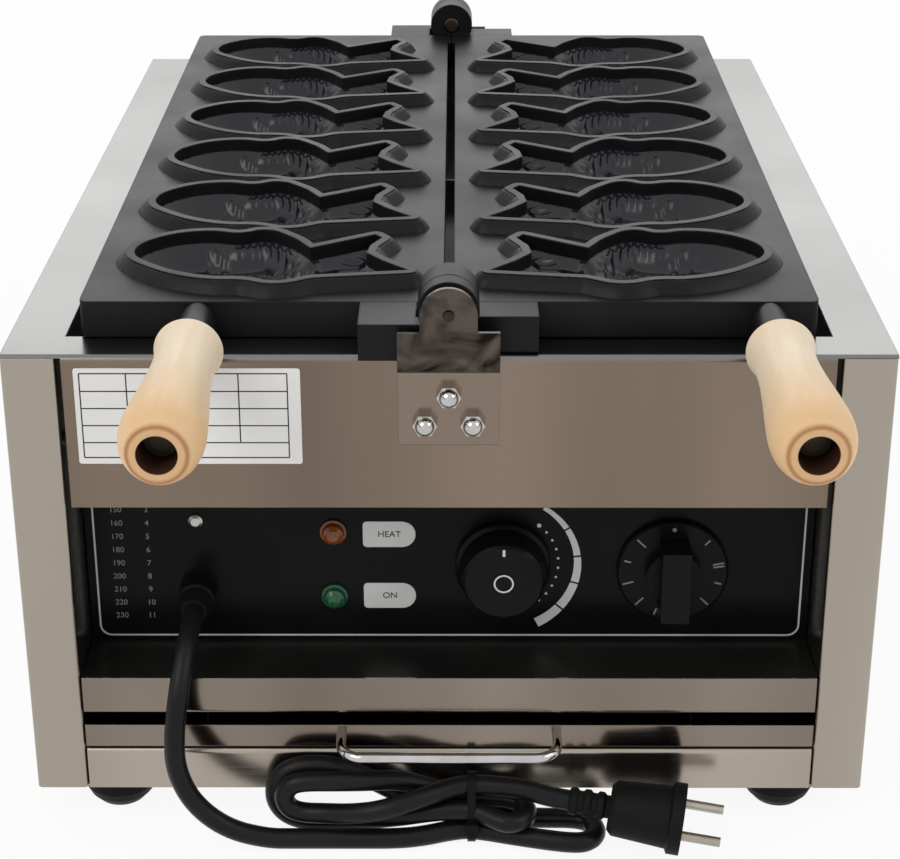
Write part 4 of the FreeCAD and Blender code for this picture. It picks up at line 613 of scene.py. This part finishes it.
# Rays of the fins and of the tail, and the rib across the neck
FIN_START = (46, 50)
FIN_END = (74, 78)
FIN_DEPTH = (5, 7.5)
FIN_RISE = 0.8
FIN_TURN = 1.75
FIN_SLANT = 0.25
RIB_X = 87.5
RIB_HALF = 1.3
RIB_RISE = 2.0
TAIL_RAYS_START = (96, 101)
TAIL_RAYS_MIDDLE = -8
TAIL_RAYS_SLANT = 0.1
TAIL_RAYS_TURN = 1.15
TAIL_RAYS_RISE = 0.7
# Rounded outer flank of the rims: where it starts and ends outside the cavity's edge, and its heights
FLANK_START = 3.4
FLANK_EDGE = 4.2
FLANK_END = 9.8
FLANK_MARGIN = 0.8
FLANK_OVERRUN = 1.15
FLANK_TOP_Z = 273.8
FLANK_LOW_Z = 267.5
FLANK_BURIED_Z = 262


def fish_depth(u, v):
    """Distance inside the fish's edge, negative outside, over a grid."""
    edge = np.array(smooth_run(FISH_BODY, steps=8) + [np.array(spot, float) for spot in FISH_TAIL])
    after = np.roll(edge, -1, axis=0)
    spots = np.stack([u.ravel(), v.ravel()], 1)
    gap = np.full(len(spots), np.inf)
    inside = np.zeros(len(spots), bool)
    for a, b in zip(edge, after):
        run = b - a
        share = np.clip(((spots - a) @ run) / max(run @ run, TINY), 0, 1)
        gap = np.minimum(gap, np.hypot(*(spots - a - share[:, None] * run).T))
        crosses = (a[1] > spots[:, 1]) != (b[1] > spots[:, 1])
        if abs(run[1]) > TINY:
            inside ^= crosses & (spots[:, 0] < a[0] + (spots[:, 1] - a[1]) * run[0] / run[1])
    return np.where(inside, gap, -gap).reshape(u.shape)


def fish_floor(u, v, depth):
    """Height of the sculpted floor of one mould over a grid."""
    body = BODY_FLOOR_Z + BODY_RISE * (1 - smooth_step(depth, *BODY_RUN))
    tail = TAIL_FLOOR_Z + TAIL_RISE * (1 - smooth_step(depth, *TAIL_RUN))
    floor = body + (tail - body) * smooth_step(u, *NECK_RUN)

    gill = GILL_X - ((v - GILL_MIDDLE) / GILL_HALF) ** 2 * GILL_SWEEP
    head = 1 - smooth_step(u, gill - GILL_BLUR, gill + GILL_BLUR)
    floor += HEAD_RISE * head * smooth_step(depth, *HEAD_FADE)
    floor += np.exp(-((u - gill - RIDGE_OFFSET) / RIDGE_HALF) ** 2) * smooth_step(depth, *RIDGE_FADE)
    eye = np.hypot(u - EYE[0], v - EYE[1])
    floor += (EYE_RING_RISE * np.exp(-((eye - EYE_RING_RADIUS) / EYE_RING_HALF) ** 2)
              + PUPIL_RISE * np.exp(-(eye / PUPIL_RADIUS) ** 2))
    mouth = np.abs(v - MOUTH_START - MOUTH_SLOPE * u)
    floor -= MOUTH_DEPTH * np.exp(-(mouth / MOUTH_HALF) ** 2) * (1 - smooth_step(u, *MOUTH_END))

    row = np.round((u - SCALES_X) / SCALE_PITCH_ALONG)
    shift = np.where(row % 2 == 0, 0.0, SCALE_PITCH_ACROSS / 2)
    column = np.round((v - shift) / SCALE_PITCH_ACROSS)
    scale = np.hypot((u - SCALES_X - row * SCALE_PITCH_ALONG + SCALE_OFFSET) / SCALE_HALF_ALONG,
                     (v - shift - column * SCALE_PITCH_ACROSS) / SCALE_HALF_ACROSS)
    before_neck = 1 - smooth_step(u, *SCALES_END)
    scales = smooth_step(u, gill + SCALES_START[0], gill + SCALES_START[1]) * before_neck
    scales *= smooth_step(depth, *SCALE_FADE)
    back = smooth_step(v, *BACK_EDGE) * smooth_step(u, *BACK_START) * before_neck
    scales *= 1 - back
    floor += BACK_RISE * back * smooth_step(depth, *BACK_FADE)
    floor += SCALE_RISE * np.clip(1 - scale ** 2, 0, 1) * scales

    fins = smooth_step(u, *FIN_START) * (1 - smooth_step(u, *FIN_END)) * (1 - smooth_step(depth, *FIN_DEPTH))
    fin_rays = np.cos(u * FIN_TURN + FIN_SLANT * np.abs(v))
    floor += FIN_RISE * fin_rays * fins * smooth_step(depth, *FIN_FADE)
    floor += RIB_RISE * (np.exp(-((u - RIB_X) / RIB_HALF) ** 2) * smooth_step(depth, *RIB_FADE))
    rays = smooth_step(u, *TAIL_RAYS_START) * smooth_step(depth, *TAIL_RAYS_FADE)
    slant = v - TAIL_RAYS_MIDDLE - TAIL_RAYS_SLANT * (u - TAIL_RAYS_START[0])
    floor += TAIL_RAYS_RISE * np.cos(slant * TAIL_RAYS_TURN) * rays
    return floor


def raised_cells(work, u, v, height, cells, sign, row):
    """Adds one fish's grid cells, at their heights, to a mesh of the plate on that side."""
    found = {}

    def corner(i, j):
        if (i, j) not in found:
            x = sign * (FISH_NOSE_X + u[i, j])
            y = FISH_FIRST_ROW + row * FISH_PITCH + v[i, j]
            found[i, j] = work.verts.new((x * MM, y * MM, height[i, j] * MM))
        return found[i, j]

    for i, j in np.argwhere(cells):
        loop = [corner(i, j), corner(i + 1, j), corner(i + 1, j + 1), corner(i, j + 1)]
        work.faces.new(loop if sign > 0 else loop[::-1])


def closed_mesh(name, work, buried_z):
    """The cells closed by walls down to a flat underside inside the plate."""
    for item in bmesh.ops.extrude_face_region(work, geom=list(work.faces))["geom"]:
        if isinstance(item, bmesh.types.BMVert):
            item.co.z = buried_z * MM
    bmesh.ops.recalc_face_normals(work, faces=work.faces)
    mesh = bpy.data.meshes.new(name)
    work.to_mesh(mesh)
    work.free()
    mesh.shade_smooth()
    return mesh


def whole_cells(keep):
    """Cells of a grid whose four corners are all kept."""
    return keep[:-1, :-1] & keep[1:, :-1] & keep[1:, 1:] & keep[:-1, 1:]


def fish_moulds():
    """The sculpted floors of the moulds and the rounded flanks of their rims, one of each to a plate."""
    along = np.arange(*FISH_GRID_ALONG, FISH_GRID)
    across = np.arange(*FISH_GRID_ACROSS, FISH_GRID)
    u, v = np.meshgrid(along, across, indexing="ij")
    depth = fish_depth(u, v)
    floor = fish_floor(u, v, depth)
    floor_cells = whole_cells(depth > -FISH_WALL_OVERLAP)
    fall = np.clip((-depth - FLANK_EDGE) / (FLANK_END - FLANK_EDGE), 0, FLANK_OVERRUN)
    profile = 0.5 * np.cos(np.pi / 2 * np.minimum(fall, 1)) + 0.5 * (1 - fall)
    flank = FLANK_LOW_Z + (FLANK_TOP_Z - FLANK_LOW_Z) * profile
    ring = (depth < -FLANK_START) & (depth > -FLANK_END - FLANK_MARGIN)
    next_rims = {step: fish_depth(u, v - step * FISH_PITCH) > -FLANK_START for step in (-1, 1)}
    for side, sign in (("left", 1), ("right", -1)):
        floors = bmesh.new()
        flanks = bmesh.new()
        for row in range(FISH_ROWS):
            raised_cells(floors, u, v, floor, floor_cells, sign, row)
            keep = ring.copy()
            for step, taken in next_rims.items():
                if 0 <= row + step < FISH_ROWS:
                    keep &= ~taken
            raised_cells(flanks, u, v, flank, whole_cells(keep), sign, row)
        mesh = closed_mesh(f"{side}_fish_reliefs", floors, FISH_BURIED_Z)
        new_piece(mesh.name, mesh, side + "_plate", "cast_floor")
        mesh = closed_mesh(f"{side}_rim_flanks", flanks, FLANK_BURIED_Z)
        new_piece(mesh.name, mesh, side + "_plate", "cast")


def circle(x, z, radius, count=32):
    turns = [2 * math.pi * step / count for step in range(count)]
    return [(x + radius * math.cos(turn), z + radius * math.sin(turn)) for turn in turns]


def spot_at(middle, radius, angle):
    """A point round a dial, its angle in degrees clockwise from the top."""
    turn = math.radians(angle)
    return middle[0] + radius * math.sin(turn), middle[1] + radius * math.cos(turn)


def tick(middle, angle, inner, outer, width):
    turn = math.radians(angle)
    side = (math.cos(turn) * width / 2, -math.sin(turn) * width / 2)
    a, b = spot_at(middle, inner, angle), spot_at(middle, outer, angle)
    return [(a[0] - side[0], a[1] - side[1]), (a[0] + side[0], a[1] + side[1]),
            (b[0] + side[0], b[1] + side[1]), (b[0] - side[0], b[1] - side[1])]


def band(middle, start, end, inner, outer, count=14):
    """A curved band round a dial, its width going from the first to the second of each pair."""
    low, high = [], []
    for step in range(count + 1):
        share = step / count
        angle = start + (end - start) * share
        low.append(spot_at(middle, inner[0] + (inner[1] - inner[0]) * share, angle))
        high.append(spot_at(middle, outer[0] + (outer[1] - outer[0]) * share, angle))
    return low + high[::-1]


def rounded(x0, x1, z0, z1, radii, count=6):
    """A rectangle with its own radius at each corner: lower left, lower right, upper right, upper left."""
    corners = [(x0, z0, 1, 1, 180), (x1, z0, -1, 1, 270), (x1, z1, -1, -1, 0), (x0, z1, 1, -1, 90)]
    loop = []
    for (x, z, dx, dz, start), radius in zip(corners, radii):
        for step in range(count + 1):
            turn = math.radians(start + 90 * step / count)
            loop.append((x + dx * radius + radius * math.cos(turn),
                         z + dz * radius + radius * math.sin(turn)))
    return loop


# How thick a print stands on its face, how deep it starts in it, and the same for lettering
PRINT_THICK = 0.16
PRINT_SUNK = 0.05
RULE_THICK = 0.06
WORD_HALF_THICK = 0.08
LABEL_WORD_LIFT = 0.2


def flat_shapes(name, loops, face_y, body, material, thick=PRINT_THICK):
    """Thin printed or stuck-on shapes on a face that looks to the front."""
    work = bmesh.new()
    for loop in loops:
        bottom = [work.verts.new((x * MM, (face_y + PRINT_SUNK) * MM, z * MM)) for x, z in loop]
        top = [work.verts.new((x * MM, (face_y - thick) * MM, z * MM)) for x, z in loop]
        work.faces.new(top)
        work.faces.new(bottom[::-1])
        for index in range(len(loop)):
            after = (index + 1) % len(loop)
            work.faces.new([top[after], top[index], bottom[index], bottom[after]])
    bmesh.ops.recalc_face_normals(work, faces=work.faces)
    mesh = bpy.data.meshes.new(name)
    work.to_mesh(mesh)
    work.free()
    return new_piece(name, mesh, body, material)


def frame_strip(outer, inner):
    """Quads between two loops of the same count, one by one."""
    count = len(outer)
    return [[outer[i], outer[(i + 1) % count], inner[(i + 1) % count], inner[i]] for i in range(count)]


def words(name, text, x, z, size, face_y, body, material, line=1.0):
    """Plain lettering on a face that looks to the front."""
    curve = bpy.data.curves.new(name, "FONT")
    curve.body = text
    curve.size = size * MM
    curve.space_line = line
    curve.align_x = "CENTER"
    curve.align_y = "CENTER"
    curve.extrude = WORD_HALF_THICK * MM
    draft = bpy.data.objects.new(name + "_draft", curve)
    scene.collection.objects.link(draft)
    upright = Matrix.Rotation(math.pi / 2, 4, "X")
    draft.matrix_world = Matrix.Translation(Vector((x, face_y, z)) * MM) @ upright
    bpy.context.view_layer.update()
    mesh = bpy.data.meshes.new_from_object(draft.evaluated_get(bpy.context.evaluated_depsgraph_get()))
    mesh.transform(draft.matrix_world)
    mesh.materials.clear()
    bpy.data.objects.remove(draft)
    return new_piece(name, mesh, body, material)


# Panel: the border's two edges, as left, right, low, high and corner radii
BORDER_OUTER = (-175.2, 175.2, 83, 190, (6, 6, 2, 2))
BORDER_INNER = (-174.3, 174.3, 83.9, 189, (5.1, 5.1, 1.5, 1.5))
# Round the thermostat: dots at these angles, and the bands of an arc that widens from its start
DOT_RING_RADIUS = 27.4
OFF_DOT_ANGLE = 40
OFF_DOT_RADIUS = 1.1
DOT_ANGLES = range(51, 156, 11)
DOT_RADIUS = 0.65
HEAT_BANDS = ((33, 58), (59.5, 83), (84.5, 106), (107.5, 130), (131.5, 153))
HEAT_ARC_START = 33
HEAT_ARC_SPAN = 120
HEAT_ARC_OUTER = 37.6
HEAT_ARC_OUTER_GROWTH = 2.4
HEAT_ARC_INNER = 35.4
HEAT_ARC_INNER_GROWTH = -0.6
# Lamp labels, and the two columns of numbers as place, first number and step
LAMP_LABEL_X = (-42.5, -16.6)
LAMP_LABEL_HALF = 7
LAMP_LABEL_RADII = (2, 6.8, 6.8, 2)
LAMP_LABEL_DROP = 1.6
LAMP_WORD_X = -29.5
LAMP_WORD_SIZE = 4.6
NUMBER_COLUMNS = {"left": (-163.5, 150, 10), "right": (-148.5, 3, 1)}
NUMBER_ROWS = 9
NUMBER_Z = 124
NUMBER_SIZE = 4.2
NUMBER_LINE = 1.75


def panel_print():
    border = frame_strip(rounded(*BORDER_OUTER), rounded(*BORDER_INNER))
    dots = [circle(*spot_at(THERMOSTAT, DOT_RING_RADIUS, OFF_DOT_ANGLE), OFF_DOT_RADIUS, count=16)]
    for angle in DOT_ANGLES:
        dots.append(circle(*spot_at(THERMOSTAT, DOT_RING_RADIUS, angle), DOT_RADIUS, count=12))
    flat_shapes("panel_border", border, PANEL_Y, "housing", "print")
    flat_shapes("dial_dots", dots, PANEL_Y, "housing", "print")
    heat_arc = []
    for start, end in HEAT_BANDS:
        shares = [(angle - HEAT_ARC_START) / HEAT_ARC_SPAN for angle in (start, end)]
        outer = [HEAT_ARC_OUTER + HEAT_ARC_OUTER_GROWTH * share for share in shares]
        inner = [HEAT_ARC_INNER + HEAT_ARC_INNER_GROWTH * share for share in shares]
        heat_arc.append(band(THERMOSTAT, start, end, inner, outer))
    flat_shapes("heat_arc", heat_arc, PANEL_Y, "housing", "print")
    lamp_words = (("amber", LAMP_HEIGHTS[0] - LAMP_LABEL_DROP, "HEAT"), ("green", LAMP_HEIGHTS[1], "ON"))
    for name, z, text in lamp_words:
        outline = rounded(*LAMP_LABEL_X, z - LAMP_LABEL_HALF, z + LAMP_LABEL_HALF, LAMP_LABEL_RADII)
        flat_shapes(name + "_label", [outline], PANEL_Y, "housing", "print")
        words(name + "_word", text, LAMP_WORD_X, z, LAMP_WORD_SIZE, PANEL_Y - LABEL_WORD_LIFT, "housing",
              "rule")
    for column, (x, start, step) in NUMBER_COLUMNS.items():
        rows = "\n".join(str(start + step * row) for row in range(NUMBER_ROWS))
        words(f"{column}_number_column", rows, x, NUMBER_Z, NUMBER_SIZE, PANEL_Y - WORD_HALF_THICK, "housing",
              "print_grey", NUMBER_LINE)


# Thermostat knob: its pointer and the ring on its cap, as inner and outer radius
POINTER_RADII = (14.6, 18.2)
POINTER_WIDTH = 1.3
CAP_RING_RADII = (4.1, 4.9)
# Timer disc: angle, inner and outer radius of each tick, and the dot at the top
TIMER_TICKS = [
    (-45, 19.5, 25.5), (-75, 21.5, 25), (-105, 20, 25.5), (-135, 20, 25.5), (-160, 21.5, 25), (45, 21.5, 25),
    (78, 20, 25.5), (82, 20, 25.5), (105, 21.5, 25), (135, 20, 25.5), (160, 21.5, 25),
]
TIMER_TICK_WIDTH = 0.8
TIMER_DOT_PLACE = 23.5
TIMER_DOT_RADIUS = 1.1


def dial_marks():
    face = PANEL_Y - KNOB_GAP - THERMOSTAT_KNOB_HEIGHT
    pointer = tick(THERMOSTAT, 0, *POINTER_RADII, POINTER_WIDTH)
    flat_shapes("thermostat_pointer", [pointer], face, "thermostat_dial", "print")
    ring = frame_strip(circle(*THERMOSTAT, CAP_RING_RADII[1]), circle(*THERMOSTAT, CAP_RING_RADII[0]))
    cap = face - THERMOSTAT_CAP_RISE
    flat_shapes("thermostat_cap_ring", ring, cap, "thermostat_dial", "print")
    disc = PANEL_Y - KNOB_GAP - TIMER_DISC_HEIGHT
    ticks = [tick(TIMER, angle, inner, outer, TIMER_TICK_WIDTH) for angle, inner, outer in TIMER_TICKS]
    ticks.append(circle(*spot_at(TIMER, TIMER_DOT_PLACE, 0), TIMER_DOT_RADIUS, count=14))
    flat_shapes("timer_ticks", ticks, disc, "timer_dial", "print_grey")


# Rating label: left, right, low and high edge, margins in the same order, and places of its rules
LABEL_BOX = (-171.6, -67.9, 196.3, 244.3)
LABEL_RADIUS = 1.2
LABEL_MARGINS = (2.6, 6, 3.2, 2.6)
LABEL_ROWS = (7.6, 16.2, 24.8, 33.4)
LABEL_COLUMNS = (0, 0.225, 0.47, 0.765, 1)
RULE_HALF = 0.28
RULE_RADIUS = 0.05


def rating_label():
    """A blank ruled label on the fascia."""
    x0, x1, z0, z1 = LABEL_BOX
    sheet = rounded(*LABEL_BOX, (LABEL_RADIUS,) * 4, count=4)
    flat_shapes("rating_label", [sheet], FRONT_Y, "housing", "label")
    left, right = x0 + LABEL_MARGINS[0], x1 - LABEL_MARGINS[1]
    low, high = z0 + LABEL_MARGINS[2], z1 - LABEL_MARGINS[3]
    heights = [low, *[low + row for row in LABEL_ROWS], high]
    corners = (RULE_RADIUS,) * 4
    rules = [rounded(left, right, z - RULE_HALF, z + RULE_HALF, corners, count=1) for z in heights]
    for share in LABEL_COLUMNS:
        x = left + (right - left) * share
        bottom = low if share in (0, 1) else heights[1]
        rules.append(rounded(x - RULE_HALF, x + RULE_HALF, bottom, high, corners, count=1))
    flat_shapes("rating_label_rules", rules, FRONT_Y - PRINT_THICK, "housing", "rule",
                RULE_THICK)


def seen_rays(tree):
    """1 for rays that show the background: straight to the camera, reflected or through glass."""
    rays = tree.nodes.new("ShaderNodeLightPath")
    total = rays.outputs["Is Camera Ray"]
    for name in ("Is Glossy Ray", "Is Transmission Ray"):
        joined = tree.nodes.new("ShaderNodeMath")
        joined.operation = "MAXIMUM"
        tree.links.new(total, joined.inputs[0])
        tree.links.new(rays.outputs[name], joined.inputs[1])
        total = joined.outputs[0]
    return total


def light_world():
    world = bpy.data.worlds.new("studio")
    scene.world = world
    world.use_nodes = True
    tree = world.node_tree
    seen = tree.nodes["Background"]
    seen.inputs["Color"].default_value = (1, 1, 1, 1)
    seen.inputs["Strength"].default_value = 1
    lit = tree.nodes.new("ShaderNodeBackground")
    lit.inputs["Color"].default_value = WORLD_TINT
    lit.inputs["Strength"].default_value = WORLD_LIGHT
    mixed = tree.nodes.new("ShaderNodeMixShader")
    tree.links.new(seen_rays(tree), mixed.inputs[0])
    tree.links.new(lit.outputs[0], mixed.inputs[1])
    tree.links.new(seen.outputs[0], mixed.inputs[2])
    tree.links.new(mixed.outputs[0], tree.nodes["World Output"].inputs["Surface"])


# Strength and tint of the even light that the object gets from all round
WORLD_LIGHT = 0.62
WORLD_TINT = (1, 0.99, 0.98, 1)
# Each lamp's place, what it looks at, its size, all in metres, and its watts
LAMPS = {
    "key": ((-1.5, -1.7, 2.1), (0, 0, 0.15), (1.6, 1.6), 22),
    "back_box": ((0, 2.7, 1.5), (0, 0, 0.2), (2.6, 1.2), 13),
    "fill": ((1.9, -0.9, 1.5), (0, 0, 0.15), (1.2, 1.2), 8),
}
# Share of the floor's whiteness that shows without lamps, so that its shadow stays pale
FLOOR_WHITE = 0.91
FLOOR_HALF = 9
FLOOR_DROP = 0.0002
PAPER_DARK = (0.95, 0.95, 0.95)
PAPER_LIGHT = (0.97, 0.97, 0.97)


def light_scene():
    light_world()
    for name, (place, aim, size, watts) in LAMPS.items():
        data = bpy.data.lights.new(name, "AREA")
        data.shape = "RECTANGLE"
        data.size, data.size_y = size
        data.energy = watts
        item = bpy.data.objects.new(name, data)
        scene.collection.objects.link(item)
        item.location = place
        item.rotation_euler = (Vector(aim) - Vector(place)).to_track_quat("-Z", "Y").to_euler()
    mesh = bpy.data.meshes.new("floor")
    corners = [(-1, -1), (1, -1), (1, 1), (-1, 1)]
    mesh.from_pydata([(x * FLOOR_HALF, y * FLOOR_HALF, 0) for x, y in corners], [], [(0, 1, 2, 3)])
    floor = bpy.data.objects.new("floor", mesh)
    scene.collection.objects.link(floor)
    floor.location.z = -FLOOR_DROP
    paper = Surface("paper", specular=0.2)
    paper.colour(paper.mix(paper.spread(paper.noise(scale=3.0), 0, 1), PAPER_DARK, PAPER_LIGHT))
    paper.shader.inputs["Roughness"].default_value = 0.8
    glow = paper.add("Emission")
    glow.inputs["Strength"].default_value = 1
    share = paper.spread(seen_rays(paper.tree), 0, FLOOR_WHITE, 0, 1)
    mixed = paper.add("MixShader")
    paper.link(share, mixed.inputs[0])
    paper.link(paper.shader.outputs[0], mixed.inputs[1])
    paper.link(glow.outputs[0], mixed.inputs[2])
    paper.link(mixed.outputs[0], paper.tree.nodes["Material Output"].inputs["Surface"])
    mesh.materials.append(paper.material)


place_camera()
dress_nodes()
lay_cord()
fish_moulds()
panel_print()
dial_marks()
rating_label()
light_scene()
